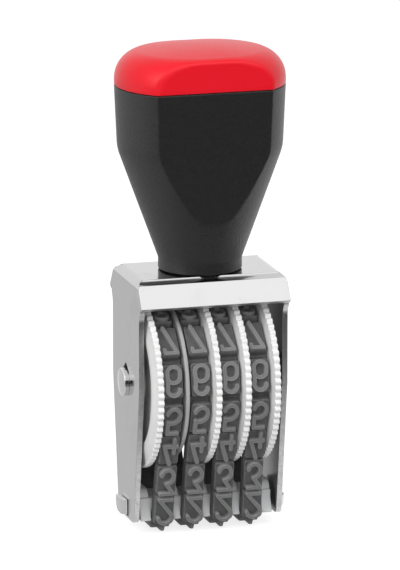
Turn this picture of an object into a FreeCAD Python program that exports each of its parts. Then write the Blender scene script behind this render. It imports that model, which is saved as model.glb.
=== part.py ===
import FreeCAD, Part
import Sketcher
import math
import os

# Hand number stamp: palm grip on a bent sheet frame, four thumb wheels on one axle,
# four endless rubber number bands running over the wheels and round a comb at the foot.
# Frame of the model: X to the right seen from the front, front is -Y, Z up,
# origin under the middle of the printing faces, which lie at Z = 0.

SIZES = {
    # bent sheet frame
    "frame_width": 33.0,
    "sheet_gauge": 1.2,
    "sheet_bend": 2.0,
    "wheel_headroom": 5.3,
    "wheel_footroom": 6.45,
    "top_depth": 18.6,
    "hood_depth": 26.0,
    "hood_drop": 5.4,
    "hood_turn": 1.05,
    "hood_bend": 2.0,
    "hood_slit": 0.15,
    "side_depth": 21.2,
    "shoulder_drop": 3.8,
    "shoulder_arc_share": 0.9,
    "foot_depth": 12.8,
    "foot_height": 2.8,
    "foot_corner": 1.5,
    # axle
    "axle_diameter": 4.5,
    "axle_play": 0.1,
    "head_diameter": 6.1,
    "head_height": 1.4,
    "head_rim": 1.0,
    "notch_reach": 4.3,
    "notch_shoulder": 2.6,
    "notch_width": 4.8,
    # thumb wheels
    "wheel_diameter": 37.4,
    "wheel_teeth": 74,
    "tooth_depth": 0.65,
    "rim_width": 1.3,
    "rim_depth": 1.9,
    "flank_width": 0.25,
    "flank_radius": 16.2,
    "thumb_room": 0.95,
    "end_room": 2.55,
    "wheel_gap": 0.2,
    "drum_diameter": 27.2,
    "drum_wall": 1.6,
    "hub_diameter": 10.4,
    "web_width": 1.5,
    "bore_play": 0.08,
    "hub_recess": 0.6,
    "thumb_bevel_radius": 15.5,
    "thumb_face_radius": 14.3,
    "thumb_recess_depth": 1.25,
    "thumb_face_dish": 0.25,
    # pieces between the wheels and the plates
    "disc_diameter": 33.6,
    "disc_width": 0.85,
    "disc_gap": 0.35,
    "washer_diameter": 9.6,
    "washer_width": 0.7,
    "stack_gap": 0.05,
    "spacer_diameter": 9.0,
    # rubber bands
    "band_room": 0.7,
    "band_side_gap": 0.2,
    "band_play": 0.2,
    "belt_thickness": 1.0,
    "run_spans": 4,
    "pad_count": 15,
    "pad_height": 1.2,
    "pad_length": 7.0,
    "pad_draft": 0.15,
    "digit_height": 7.0,
    "digit_margin": 0.35,
    "digit_stroke": 0.8,
    "digit_relief": 0.9,
    "foot_flat": 6.4,
    "foot_turn": 1.0,
    # comb and bridge at the foot
    "comb_splay": 0.1,
    "comb_end_gap": 0.6,
    "comb_play": 0.15,
    "comb_height": 4.4,
    "fin_side_gap": 0.3,
    "fin_reach": 0.3,
    "fin_height": 6.5,
    "fin_top_depth": 6.8,
    "fin_foot_depth": 11.0,
    "fin_round": 1.9,
    "fin_arc_share": 1.1,
    "bridge_gauge": 1.0,
    "bridge_height": 3.45,
    "bridge_foot": 3.4,
    "bridge_turn": 0.3,
    "bridge_lift": 0.1,
    "lug_length": 4.5,
    "lug_corner": 2.2,
    "slot_play": 0.15,
    "slot_front_play": 1.3,
    # grip
    "neck_diameter": 18.0,
    "neck_half_flat": 0.15,
    "neck_gap": 0.25,
    "neck_height": 2.35,
    "spigot_diameter": 15.0,
    "seam_rise": 40.3,
    "kink_rise": 26.6,
    "kink_round": 1.4,
    "kink_flat_share": 0.95,
    "grip_side_radius": 15.7,
    "grip_half_flat": 2.7,
    "grip_side_draft": 0.6,
    "facet_depth": 24.4,
    "facet_draft": 0.9,
    "facet_rise": 12.5,
    "grip_wall": 2.4,
    "cavity_rise": 13.2,
    "cavity_floor_radius": 7.4,
    "cap_height": 8.4,
    "cap_round": 6.2,
    "cap_corner": 2.5,
    "cap_skirt": 4.0,
    "cap_play": 0.15,
    # screw that holds the grip
    "screw_diameter": 4.0,
    "screw_length": 11.0,
    "screw_head_diameter": 7.6,
    "screw_head_height": 1.7,
    "screw_slot_width": 1.0,
    "screw_slot_depth": 0.7,
    "lock_washer_diameter": 8.0,
    "lock_washer_width": 0.7,
    "screw_hole_play": 0.3,
    "insert_diameter": 7.0,
    "insert_length": 8.0,
    "insert_depth": 2.0,
}

# The bands from left to right, and the middle of the row.
BANDS = (1, 2, 3, 4)
ROW_MIDDLE = sum(BANDS) / len(BANDS)

# Sizes that follow from the others, as expressions on them.
DERIVED = {
    "axle_height": "digit_relief + pad_height + belt_thickness + comb_play + comb_height"
                   " + wheel_diameter / 2 + wheel_footroom",
    "top_height": "axle_height + wheel_diameter / 2 + wheel_headroom",
    "first_rim_face": "-1 * frame_width / 2 + sheet_gauge + thumb_room + rim_width",
    "last_rim_face": "frame_width / 2 - sheet_gauge - end_room",
    "wheel_pitch": "( last_rim_face - first_rim_face + wheel_gap ) / %d" % len(BANDS),
    "band_width": "wheel_pitch - rim_width - band_room",
    "pad_width": "band_width - 2 * pad_draft",
    "digit_width": "pad_width - 2 * digit_margin",
    "comb_pitch": "wheel_pitch + comb_splay",
    "comb_width": "frame_width - 2 * sheet_gauge - 2 * comb_end_gap",
    "grip_seam": "top_height + seam_rise",
    "grip_kink": "top_height + kink_rise",
    "facet_foot": "top_height + facet_rise",
    "cavity_floor": "top_height + cavity_rise",
}

# Characters in band order, from the printing face up the front: a digit or a plain sign.
CHARACTERS = ("1", "2", "3", "4", "5", "6", "7", "8", "9", "dash", "slash", "stop", "plus", "blank", "0")

# Strokes of each character. Places are shares of the stroke box, x to the right and y up.
GLYPH_SHARES = {
    "0": [("arc", (-0.5, 0.2), (0, 0.5), (0.5, 0.2)), ("line", (0.5, 0.2), (0.5, -0.2)),
          ("arc", (0.5, -0.2), (0, -0.5), (-0.5, -0.2)), ("line", (-0.5, -0.2), (-0.5, 0.2))],
    "1": [("line", (0.2, -0.5), (0.2, 0.5)), ("line", (0.2, 0.5), (-0.3, 0.26))],
    "2": [("arc", (-0.5, 0.27), (0.08, 0.5), (0.47, 0.1)), ("line", (0.47, 0.1), (-0.5, -0.5)),
          ("line", (-0.5, -0.5), (0.5, -0.5))],
    "3": [("line", (-0.5, 0.5), (0.5, 0.5)), ("line", (0.5, 0.5), (-0.05, 0.1)),
          ("arc", (-0.05, 0.1), (0.5, -0.2), (0, -0.5)), ("arc", (0, -0.5), (-0.3, -0.44), (-0.5, -0.27))],
    "4": [("line", (0.0, 0.5), (-0.5, -0.22)), ("line", (-0.5, -0.22), (0.5, -0.22)),
          ("line", (0.28, 0.05), (0.28, -0.5))],
    "5": [("line", (0.4, 0.5), (-0.42, 0.5)), ("line", (-0.42, 0.5), (-0.42, 0.05)),
          ("arc", (-0.42, 0.05), (0.5, -0.12), (0.05, -0.5)),
          ("arc", (0.05, -0.5), (-0.28, -0.45), (-0.5, -0.3))],
    "6": [("arc", (-0.5, -0.2), (0, 0.06), (0.5, -0.2)), ("arc", (0.5, -0.2), (0, -0.5), (-0.5, -0.2)),
          ("line", (-0.5, -0.2), (-0.5, 0.2)), ("arc", (-0.5, 0.2), (0, 0.5), (0.46, 0.3))],
    "7": [("line", (-0.5, 0.36), (-0.5, 0.5)), ("line", (-0.5, 0.5), (0.5, 0.5)),
          ("line", (0.5, 0.5), (-0.3, -0.5))],
    "8": [("arc", (-0.42, 0.27), (0, 0.5), (0.42, 0.27)), ("arc", (0.42, 0.27), (0, 0.04), (-0.42, 0.27)),
          ("arc", (-0.5, -0.23), (0, 0.04), (0.5, -0.23)), ("arc", (0.5, -0.23), (0, -0.5), (-0.5, -0.23))],
    "9": [("arc", (0.5, 0.2), (0, -0.06), (-0.5, 0.2)), ("arc", (-0.5, 0.2), (0, 0.5), (0.5, 0.2)),
          ("line", (0.5, 0.2), (0.5, -0.2)), ("arc", (0.5, -0.2), (0, -0.5), (-0.46, -0.3))],
    "dash": [("line", (-0.35, 0), (0.35, 0))],
    "slash": [("line", (-0.4, -0.45), (0.4, 0.45))],
    "stop": [("line", (0, -0.44), (0, -0.4))],
    "plus": [("line", (-0.4, 0), (0.4, 0)), ("line", (0, -0.22), (0, 0.22))],
    "blank": [],
}

doc = FreeCAD.newDocument("number_stamp")
sheet = doc.addObject("Spreadsheet::Sheet", "dims")
for row, (alias, number) in enumerate(SIZES.items(), start=1):
    sheet.set("A%d" % row, alias)
    sheet.set("B%d" % row, str(number))
    sheet.setAlias("B%d" % row, alias)
doc.recompute()

Vec = FreeCAD.Vector
X_AXIS = Vec(1, 0, 0)
Y_AXIS = Vec(0, 1, 0)
Z_AXIS = Vec(0, 0, 1)
subparts = []


def spelled_out(expression, prefix=""):
    """The expression with each derived size written out, and the prefix before each alias."""
    words = []
    for word in expression.replace("(", " ( ").replace(")", " ) ").split():
        if word in DERIVED:
            words.append("( %s )" % spelled_out(DERIVED[word], prefix))
        else:
            words.append(prefix + word if word in SIZES else word)
    return " ".join(words)


def worked(expression):
    """The number that an expression on the sheet gives."""
    result = sheet.evalExpression(spelled_out(expression))
    return float(getattr(result, "Value", result))


def size(alias):
    """A driving dimension, read from the sheet, or a derived one."""
    return worked(alias)


def dims(expression):
    """The same expression with each alias written as a reference to the sheet."""
    return spelled_out(expression, "dims.")


# Sketch helpers

def new_body(label):
    body = doc.addObject("PartDesign::Body", label)
    body.Label = label
    subparts.append(body)
    return body


def new_sketch(body, role, offset=None):
    """A sketch on one of the body's origin planes, moved along its normal by an expression."""
    sketch = body.newObject("Sketcher::SketchObject", body.Label + "_sketch")
    plane = next(item for item in body.Origin.OriginFeatures if item.Role == role)
    sketch.AttachmentSupport = [(plane, "")]
    sketch.MapMode = "FlatFace"
    if offset:
        sketch.setExpression("AttachmentOffset.Base.z", dims(offset))
    doc.recompute()
    return sketch


def bind_place(sketch, geometry, end, axis, expression):
    """Tie one coordinate of a vertex to an expression of the sheet."""
    number = worked(expression)
    if abs(number) < Part.Precision.confusion():
        sketch.addConstraint(Sketcher.Constraint("PointOnObject", geometry, end, -2 if axis == "X" else -1))
        return
    kind = "Distance" + axis
    if number > 0:
        index = sketch.addConstraint(Sketcher.Constraint(kind, -1, 1, geometry, end, number))
        sketch.setExpression("Constraints[%d]" % index, dims(expression))
    else:
        index = sketch.addConstraint(Sketcher.Constraint(kind, geometry, end, -1, 1, -number))
        sketch.setExpression("Constraints[%d]" % index, dims("-1 * ( %s )" % expression))


def outline(sketch, corners):
    """A closed outline. A corner is (x, y), or (x, y, radius, side) where an arc starts there,
    with side 1 for an arc that bulges to the left of its chord and -1 to the right.
    A half circle is held by the X of its centre, given as a fifth item, not by its radius."""
    places = [Vec(worked(corner[0]), worked(corner[1]), 0) for corner in corners]
    ends = []
    for index, corner in enumerate(corners):
        start = places[index]
        finish = places[(index + 1) % len(corners)]
        if len(corner) == 2:
            geometry = sketch.addGeometry(Part.LineSegment(start, finish), False)
            ends.append((geometry, 1, 2))
            continue
        radius = worked(corner[2])
        chord = finish - start
        sagitta = radius - math.sqrt(max(radius ** 2 - (chord.Length / 2) ** 2, 0))
        left = Vec(-chord.y, chord.x, 0).normalize()
        middle = (start + finish) / 2 + left * sagitta * corner[3]
        geometry = sketch.addGeometry(Part.Arc(start, middle, finish), False)
        forward = sketch.getPoint(geometry, 1).distanceToPoint(start) < chord.Length / 2
        ends.append((geometry, 1, 2) if forward else (geometry, 2, 1))
        if len(corner) == 5:
            bind_place(sketch, geometry, 3, "X", corner[4])
            continue
        index_radius = sketch.addConstraint(Sketcher.Constraint("Radius", geometry, radius))
        sketch.setExpression("Constraints[%d]" % index_radius, dims(corner[2]))
    for index, (geometry, first, last) in enumerate(ends):
        follower = ends[(index + 1) % len(ends)]
        sketch.addConstraint(Sketcher.Constraint("Coincident", geometry, last, follower[0], follower[1]))
    for (geometry, first, last), corner in zip(ends, corners):
        bind_place(sketch, geometry, first, "X", corner[0])
        bind_place(sketch, geometry, first, "Y", corner[1])
    doc.recompute()


def circle(sketch, diameter, x="0", y="0"):
    place = Vec(worked(x), worked(y), 0)
    geometry = sketch.addGeometry(Part.Circle(place, Z_AXIS, worked(diameter) / 2), False)
    index = sketch.addConstraint(Sketcher.Constraint("Diameter", geometry, worked(diameter)))
    sketch.setExpression("Constraints[%d]" % index, dims(diameter))
    bind_place(sketch, geometry, 3, "X", x)
    bind_place(sketch, geometry, 3, "Y", y)


def rectangle(sketch, left, right, low, high):
    outline(sketch, [(left, low), (right, low), (right, high), (left, high)])


def extrude(body, kind, sketch, length, middle=False, backward=False):
    """A Pad or a Pocket of a sketch."""
    feature = body.newObject("PartDesign::" + kind, body.Label + "_" + kind.lower())
    feature.Profile = sketch
    feature.Midplane = middle
    feature.Reversed = backward
    feature.setExpression("Length", dims(length))
    doc.recompute()
    return feature


def turn(body, kind, sketch, axis):
    """A Revolution or a Groove about one of the sketch's axes."""
    feature = body.newObject("PartDesign::" + kind, body.Label + "_" + kind.lower())
    feature.Profile = sketch
    feature.ReferenceAxis = (sketch, [axis])
    feature.Angle = 360
    doc.recompute()
    return feature


def mirror(body, features, role):
    plane = next(item for item in body.Origin.OriginFeatures if item.Role == role)
    feature = body.newObject("PartDesign::Mirrored", "mirrored")
    feature.Originals = features
    feature.MirrorPlane = (plane, [""])
    body.Tip = feature
    doc.recompute()
    return feature


def round_edges(body, base, radius, wanted):
    """A Fillet on each edge of the base that the test picks."""
    names = ["Edge%d" % (n + 1) for n, edge in enumerate(base.Shape.Edges) if wanted(edge)]
    feature = body.newObject("PartDesign::Fillet", "fillet")
    feature.Base = (base, names)
    feature.setExpression("Radius", dims(radius))
    doc.recompute()
    return feature


def place_on_axle(body):
    body.setExpression("Placement.Base.z", dims("axle_height"))


def ring_on_axle(label, left, width, outer, bore):
    """A plain ring round the axle: its left face, its width and its two diameters."""
    body = new_body(label)
    place_on_axle(body)
    section = new_sketch(body, "XZ_Plane")
    right = "%s + %s" % (left, width)
    rectangle(section, left, right, "( %s ) / 2" % bore, "( %s ) / 2" % outer)
    turn(body, "Revolution", section, "H_Axis")
    return body


def solid_piece(label, shape, placement=None):
    piece = doc.addObject("Part::Feature", label)
    piece.Label = label
    piece.Shape = shape
    if placement:
        piece.Placement = placement
    subparts.append(piece)
    return piece


# Frame

def frame_shell():
    """Bent sheet: top plate, two side plates, a sloping hood front and back."""
    body = new_body("frame_shell")
    half = "frame_width / 2"
    inner = "( frame_width / 2 - sheet_gauge )"
    under = "( top_height - sheet_gauge )"
    bend = "sheet_bend"
    inner_bend = "( sheet_bend - sheet_gauge )"
    shoulder = "( top_height - hood_drop - shoulder_drop )"
    section = new_sketch(body, "XZ_Plane")
    outline(section, [
        ("-1 * " + half, "top_height - hood_drop"),
        ("-1 * " + inner, "top_height - hood_drop"),
        ("-1 * " + inner, under + " - " + inner_bend, inner_bend, 1),
        ("-1 * " + inner + " + " + inner_bend, under),
        (inner + " - " + inner_bend, under, inner_bend, 1),
        (inner, under + " - " + inner_bend),
        (inner, "top_height - hood_drop"),
        (half, "top_height - hood_drop"),
        (half, "top_height - " + bend, bend, -1),
        (half + " - " + bend, "top_height"),
        ("-1 * " + half + " + " + bend, "top_height", bend, -1),
        ("-1 * " + half, "top_height - " + bend),
    ])
    extrude(body, "Pad", section, "top_depth - 2 * hood_turn", middle=True)

    # The chamfer of a side plate runs just under the hood, then the edge steps back below it.
    run = "( ( hood_depth - top_depth ) / 2 )"
    slope = run + " / hood_drop"
    corner = "( hood_depth / 2 - sheet_gauge - hood_slit )"
    chamfer_top = "( top_height - sheet_gauge )"
    crest = "( %s - ( %s - top_height + hood_drop ) * %s )" % (corner, chamfer_top, slope)
    hip = "( side_depth / 2 )"
    waist = "( ( %s + %s ) / 2 )" % (corner, hip)
    step = "( top_height - hood_drop - shoulder_drop / 2 )"
    curve = "( shoulder_drop * shoulder_arc_share )"
    left = new_sketch(body, "YZ_Plane", "-1 * frame_width / 2")
    outline(left, [
        ("-1 * foot_depth / 2 + foot_corner", "foot_height"),
        ("foot_depth / 2 - foot_corner", "foot_height", "foot_corner", -1),
        ("foot_depth / 2", "foot_height + foot_corner"),
        (hip, "axle_height"),
        (hip, shoulder, curve, 1),
        (waist, step, curve, -1),
        (corner, "top_height - hood_drop"),
        (crest, chamfer_top),
        ("-1 * " + crest, chamfer_top),
        ("-1 * " + corner, "top_height - hood_drop", curve, -1),
        ("-1 * " + waist, step, curve, 1),
        ("-1 * " + hip, shoulder),
        ("-1 * " + hip, "axle_height"),
        ("-1 * foot_depth / 2", "foot_height + foot_corner", "foot_corner", -1),
    ])
    plate = extrude(body, "Pad", left, "sheet_gauge")
    mirror(body, [plate], "YZ_Plane")

    # The hood leaves the top plate through a soft bend and ends on a square sheet edge.
    hood = new_sketch(body, "YZ_Plane")
    face = "( ( %s ^ 2 + hood_drop ^ 2 ) ^ ( 1 / 2 ) )" % run
    turn_out = "( hood_turn * %s / %s )" % (run, face)
    turn_down = "( hood_turn * hood_drop / %s )" % face
    inner_turn = "( sheet_gauge * ( %s - %s ) / hood_drop )" % (face, run)
    outline(hood, [
        ("-1 * top_depth / 2 + sheet_gauge", "top_height"),
        ("-1 * top_depth / 2 + hood_turn", "top_height", "hood_bend", 1),
        ("-1 * top_depth / 2 - " + turn_out, "top_height - " + turn_down),
        ("-1 * hood_depth / 2", "top_height - hood_drop"),
        ("-1 * hood_depth / 2 + sheet_gauge * hood_drop / " + face,
         "top_height - hood_drop - sheet_gauge * %s / %s" % (run, face)),
        ("-1 * top_depth / 2 + " + inner_turn, "top_height - sheet_gauge"),
        ("-1 * top_depth / 2 + sheet_gauge", "top_height - sheet_gauge"),
    ])
    flap = extrude(body, "Pad", hood, "frame_width", middle=True)
    mirror(body, [flap], "XZ_Plane")
    corner_cut = new_sketch(body, "XZ_Plane")
    outline(corner_cut, [
        (half, "top_height - sheet_bend", "sheet_bend", -1),
        (half + " - sheet_bend", "top_height"),
        (half + " - sheet_bend", "top_height + sheet_gauge"),
        (half + " + sheet_gauge", "top_height + sheet_gauge"),
        (half + " + sheet_gauge", "top_height - sheet_bend"),
    ])
    cut = extrude(body, "Pocket", corner_cut, "2 * hood_depth", middle=True)
    mirror(body, [cut], "YZ_Plane")

    holes = new_sketch(body, "YZ_Plane")
    circle(holes, "axle_diameter + axle_play", "0", "axle_height")
    extrude(body, "Pocket", holes, "frame_width + sheet_gauge", middle=True)
    notch = new_sketch(body, "YZ_Plane")
    outline(notch, [
        ("-1 * axle_diameter / 4", "axle_height + axle_diameter / 3"),
        ("axle_diameter / 4", "axle_height + axle_diameter / 3"),
        ("notch_width / 2", "axle_height + notch_shoulder"),
        ("0", "axle_height + notch_reach"),
        ("-1 * notch_width / 2", "axle_height + notch_shoulder"),
    ])
    extrude(body, "Pocket", notch, "frame_width + sheet_gauge", middle=True)

    # The slots for the bridge: the play is in front on the left, and behind on the right.
    low = "bridge_foot - slot_play"
    high = "bridge_foot + bridge_height + slot_play"
    near = "bridge_gauge / 2 + slot_play"
    far = "bridge_gauge / 2 + slot_front_play"
    reach = "frame_width / 2 + sheet_gauge"
    slot = new_sketch(body, "YZ_Plane")
    rectangle(slot, "-1 * ( %s )" % far, near, low, high)
    extrude(body, "Pocket", slot, reach)
    slot = new_sketch(body, "YZ_Plane")
    rectangle(slot, "-1 * ( %s )" % near, far, low, high)
    extrude(body, "Pocket", slot, reach, backward=True)

    hole = new_sketch(body, "XY_Plane", "top_height + sheet_gauge")
    circle(hole, "screw_diameter + screw_hole_play")
    extrude(body, "Pocket", hole, "3 * sheet_gauge")
    return body


# Axle and what sits on it

def axle_rivet():
    """Pin with a domed head outside each side plate."""
    body = new_body("axle_rivet")
    place_on_axle(body)
    section = new_sketch(body, "XZ_Plane")
    end = "( frame_width / 2 )"
    rim = "( head_diameter / 2 )"
    dome = "( ( head_diameter ^ 2 / 4 + ( head_height - head_rim ) ^ 2 ) / 2 / ( head_height - head_rim ) )"
    tip = end + " + head_height"
    outline(section, [
        ("-1 * ( %s )" % tip, "0"),
        (tip, "0", dome, -1),
        (end + " + head_rim", rim),
        (end, rim),
        (end, "axle_diameter / 2"),
        ("-1 * " + end, "axle_diameter / 2"),
        ("-1 * " + end, rim),
        ("-1 * ( %s + head_rim )" % end, rim, dome, -1),
    ])
    turn(body, "Revolution", section, "H_Axis")
    return body


def turned(points):
    """The solid that a closed outline of (x, radius) points makes round the X axis."""
    places = [Vec(x, 0, radius) for x, radius in points]
    wire = Part.makePolygon(places + places[:1])
    return Part.Face(wire).revolve(Vec(), X_AXIS, 360)


def toothed_rim(left, width):
    """Rim with shallow rounded teeth, as one outline of arcs drawn along X."""
    tip = size("wheel_diameter") / 2
    valley = tip - size("tooth_depth")
    teeth = int(size("wheel_teeth"))
    step = 2 * math.pi / teeth

    def place(radius, angle):
        return Vec(left, -radius * math.cos(angle), radius * math.sin(angle))

    edges = []
    for tooth in range(teeth):
        start = tooth * step
        edges.append(Part.Arc(place(valley, start), place(tip, start + step / 2),
                              place(valley, start + step)).toShape())
    outer = Part.Wire(edges)
    inner = Part.Wire(Part.makeCircle(tip - size("rim_depth"), Vec(left, 0, 0), X_AXIS))
    face = Part.Face([outer, inner])
    return face.extrude(Vec(width, 0, 0))


def hub_bore():
    return size("axle_diameter") / 2 + size("bore_play")


def rim_face_of(number):
    """Expression for the right face of a wheel's rim, counted back from the last wheel."""
    return "( last_rim_face - %d * wheel_pitch )" % (BANDS[-1] - number)


def number_wheel(rim_face):
    """Thumb wheel with its toothed rim on the right and its drum on the left."""
    root = size("wheel_diameter") / 2 - size("rim_depth")
    valley = size("wheel_diameter") / 2 - size("tooth_depth")
    rim_left = rim_face - size("rim_width")
    flank = rim_left - size("flank_width")
    drum_end = rim_face - size("wheel_pitch") + size("wheel_gap")
    drum = size("drum_diameter") / 2
    inside = drum - size("drum_wall")
    web = rim_face - size("web_width") - size("flank_width")
    hub = size("hub_diameter") / 2
    hub_end = drum_end + size("hub_recess")
    core = turned([
        (rim_face, hub_bore()), (rim_face, root), (rim_left, root), (rim_left, valley - size("flank_width")),
        (flank, size("flank_radius")), (flank, drum), (drum_end, drum), (drum_end, inside),
        (web, inside), (web, hub), (hub_end, hub), (hub_end, hub_bore()),
    ])
    # The cone of the flank starts a little under the tooth valleys, inside the rim.
    return core.fuse(toothed_rim(rim_left, size("rim_width"))).removeSplitter()


def first_wheel():
    """The outer wheel: its rim is on the left, next to the side plate, and its face is recessed."""
    rim_face = size("first_rim_face")
    rim_left = rim_face - size("rim_width")
    valley = size("wheel_diameter") / 2 - size("tooth_depth")
    root = size("wheel_diameter") / 2 - size("rim_depth")
    flank = rim_face + size("flank_width")
    drum_end = rim_face + size("wheel_pitch") - size("rim_width") - size("wheel_gap")
    drum = size("drum_diameter") / 2
    inside = drum - size("drum_wall")
    hub = size("hub_diameter") / 2
    hub_end = drum_end - size("hub_recess")
    bevel = rim_left - size("flank_width") * 2
    seat = rim_left + size("thumb_face_dish")
    recess = bevel + size("thumb_recess_depth")
    web = flank + size("thumb_face_dish")
    face = size("thumb_face_radius")
    core = turned([
        (seat, hub_bore()), (seat, hub), (recess, hub), (recess, face), (bevel, face),
        (bevel, size("thumb_bevel_radius")), (rim_left, valley - size("flank_width")), (rim_left, root),
        (rim_face, root), (rim_face, valley - size("flank_width")), (flank, size("flank_radius")),
        (flank, drum), (drum_end, drum), (drum_end, inside), (web, inside), (web, hub),
        (hub_end, hub), (hub_end, hub_bore()),
    ])
    return core.fuse(toothed_rim(rim_left, size("rim_width"))).removeSplitter()


def number_wheels():
    on_axle = FreeCAD.Placement(Vec(0, 0, size("axle_height")), FreeCAD.Rotation())
    solid_piece("number_wheel_1", first_wheel(), on_axle)
    for number in BANDS[1:]:
        rim_face = worked(rim_face_of(number))
        solid_piece("number_wheel_%d" % number, number_wheel(rim_face), on_axle)


def axle_rings():
    """The disc between bands 1 and 2, the friction washers and the two end spacers."""
    bore = "axle_diameter + 2 * bore_play"
    first_end = "( first_rim_face + wheel_pitch - rim_width - wheel_gap )"
    disc_right = rim_face_of(BANDS[0])
    ring_on_axle("separator_disc", disc_right + " - disc_gap / 2 - disc_width", "disc_width",
                 "disc_diameter", bore)
    # On the left of the disc a washer fills the recess of wheel 1, on the right that of wheel 2.
    left_room = "( %s - disc_gap / 2 - disc_width - %s + hub_recess )" % (disc_right, first_end)
    ring_on_axle("friction_washer_1", first_end + " - hub_recess + stack_gap",
                 left_room + " - 2 * stack_gap", "washer_diameter", bore)
    right_room = "( disc_gap / 2 + wheel_gap + hub_recess )"
    ring_on_axle("friction_washer_2", disc_right + " - disc_gap / 2 + stack_gap",
                 right_room + " - 2 * stack_gap", "washer_diameter", bore)
    for number in BANDS[2:]:
        ring_on_axle("friction_washer_%d" % number, rim_face_of(number - 1) + " + stack_gap",
                     "washer_width", "washer_diameter", bore)
    wall = "( frame_width / 2 - sheet_gauge )"
    ring_on_axle("end_spacer_right", "last_rim_face + stack_gap",
                 wall + " - last_rim_face - 2 * stack_gap", "spacer_diameter", bore)
    recess = "( first_rim_face - rim_width + thumb_face_dish )"
    ring_on_axle("end_spacer_left", "-1 * %s + stack_gap" % wall,
                 recess + " + %s - 2 * stack_gap" % wall, "spacer_diameter", bore)


# Rubber bands

def band_path():
    """The middle line of the belt in the YZ plane, as joined stretches from the middle of the
    printing face up the front, over the drum and down the back."""
    half = size("belt_thickness") / 2
    drum = size("drum_diameter") / 2 + size("band_play") + half
    turn_radius = size("foot_turn") + half
    low = size("digit_relief") + size("pad_height") + half
    flat = size("foot_flat") / 2
    rise = size("axle_height") - low - turn_radius
    span = math.hypot(rise, flat)
    lean = math.asin((drum - turn_radius) / span) - math.atan2(flat, rise)
    run = math.sqrt(span ** 2 - (drum - turn_radius) ** 2)
    return {"drum": drum, "turn": turn_radius, "low": low, "flat": flat, "lean": lean, "run": run}


def path_stretches(path):
    corner = (math.pi / 2 - path["lean"]) * path["turn"]
    crown = (math.pi + 2 * path["lean"]) * path["drum"]
    return [path["flat"], corner, path["run"], crown, path["run"], corner, path["flat"]]


def path_place(path, along):
    """Place and outward normal, both in YZ, of the point a given length along the middle line."""
    lengths = path_stretches(path)
    total = sum(lengths)
    lean = path["lean"]
    mirrored = along > total / 2
    if mirrored:
        along = total - along
    turn_low = path["low"] + path["turn"]
    if along <= lengths[0]:
        place, normal = (-along, path["low"]), (0.0, -1.0)
    elif along <= lengths[0] + lengths[1]:
        angle = (along - lengths[0]) / path["turn"]
        normal = (-math.sin(angle), -math.cos(angle))
        place = (-path["flat"] + path["turn"] * normal[0], turn_low + path["turn"] * normal[1])
    elif along <= sum(lengths[:3]):
        beyond = along - lengths[0] - lengths[1]
        normal = (-math.cos(lean), -math.sin(lean))
        place = (-path["flat"] + path["turn"] * normal[0] - beyond * math.sin(lean),
                 turn_low + path["turn"] * normal[1] + beyond * math.cos(lean))
    else:
        angle = (along - sum(lengths[:3])) / path["drum"] - lean
        normal = (-math.cos(angle), math.sin(angle))
        place = (path["drum"] * normal[0], size("axle_height") + path["drum"] * normal[1])
    if mirrored:
        place, normal = (-place[0], place[1]), (-normal[0], normal[1])
    return place, normal


def slant(path, height, shift):
    """Sideways place of the band at a height: the comb holds its foot to one side of its wheel,
    and it leaves the wheel as a parabola so that it clears the rim."""
    top = size("axle_height") - path["drum"] * math.sin(path["lean"])
    bottom = path["low"] + path["turn"] * (1 - math.sin(path["lean"]))
    return shift * min(max((top - height) / (top - bottom), 0), 1) ** 2


def belt(path, shift):
    """The plain endless belt: drum stretch, two straight runs and the turn at the foot."""
    half = size("belt_thickness") / 2
    wide = size("band_width")
    lean = path["lean"]
    crown_start = sum(path_stretches(path)[:3])
    foot_end = sum(path_stretches(path)[:2])

    def edge_places(along):
        (y, z), (ny, nz) = path_place(path, along)
        x = slant(path, z, shift) - wide / 2
        return [Vec(x, y + side * half * ny, z + side * half * nz) for side in (-1, 1)]

    crown_centre = Vec(-wide / 2, 0, size("axle_height"))
    ring = Part.makeCylinder(path["drum"] + half, wide, crown_centre, X_AXIS)
    ring = ring.cut(Part.makeCylinder(path["drum"] - half, wide, crown_centre, X_AXIS))
    below = size("axle_height") - path["drum"]
    wedge = Part.makePolygon([
        crown_centre,
        crown_centre + Vec(0, -2 * path["drum"] * math.cos(lean), -2 * path["drum"] * math.sin(lean)),
        crown_centre + Vec(0, 0, -2 * below),
        crown_centre + Vec(0, 2 * path["drum"] * math.cos(lean), -2 * path["drum"] * math.sin(lean)),
        crown_centre,
    ])
    crown = ring.cut(Part.Face(wedge).extrude(Vec(wide, 0, 0)))

    runs = []
    spans = int(size("run_spans"))
    for side in (1, -1):
        ends = []
        for span in range(spans + 1):
            inner, outer = edge_places(foot_end + (crown_start - foot_end) * span / spans)
            ring_points = [inner, outer, outer + Vec(wide, 0, 0), inner + Vec(wide, 0, 0)]
            ring_points = [Vec(point.x, point.y * side, point.z) for point in ring_points]
            ends.append(Part.makePolygon(ring_points + ring_points[:1]))
        runs.append(Part.makeLoft(ends, True, True))

    turn_centre = path["low"] + path["turn"]
    foot_edges = []
    for radius, order in ((path["turn"] + half, 1), (path["turn"] - half, -1)):
        def spot(angle, side):
            return Vec(shift - wide / 2, side * (path["flat"] + radius * math.sin(angle)),
                       turn_centre - radius * math.cos(angle))
        full = math.pi / 2 - lean
        foot_edges.append([
            Part.Arc(spot(full, -1), spot(full / 2, -1), spot(0, -1)).toShape(),
            Part.LineSegment(spot(0, -1), spot(0, 1)).toShape(),
            Part.Arc(spot(0, 1), spot(full / 2, 1), spot(full, 1)).toShape(),
        ])
    closing = []
    for side in (-1, 1):
        ends = [Vec(point.x, point.y * -side, point.z) for point in edge_places(foot_end)]
        closing.append(Part.LineSegment(ends[0], ends[1]).toShape())
    foot_wire = Part.Wire(Part.sortEdges(foot_edges[0] + foot_edges[1] + closing)[0])
    foot = Part.Face(foot_wire).extrude(Vec(wide, 0, 0))
    return crown.multiFuse(runs + [foot])


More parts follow.
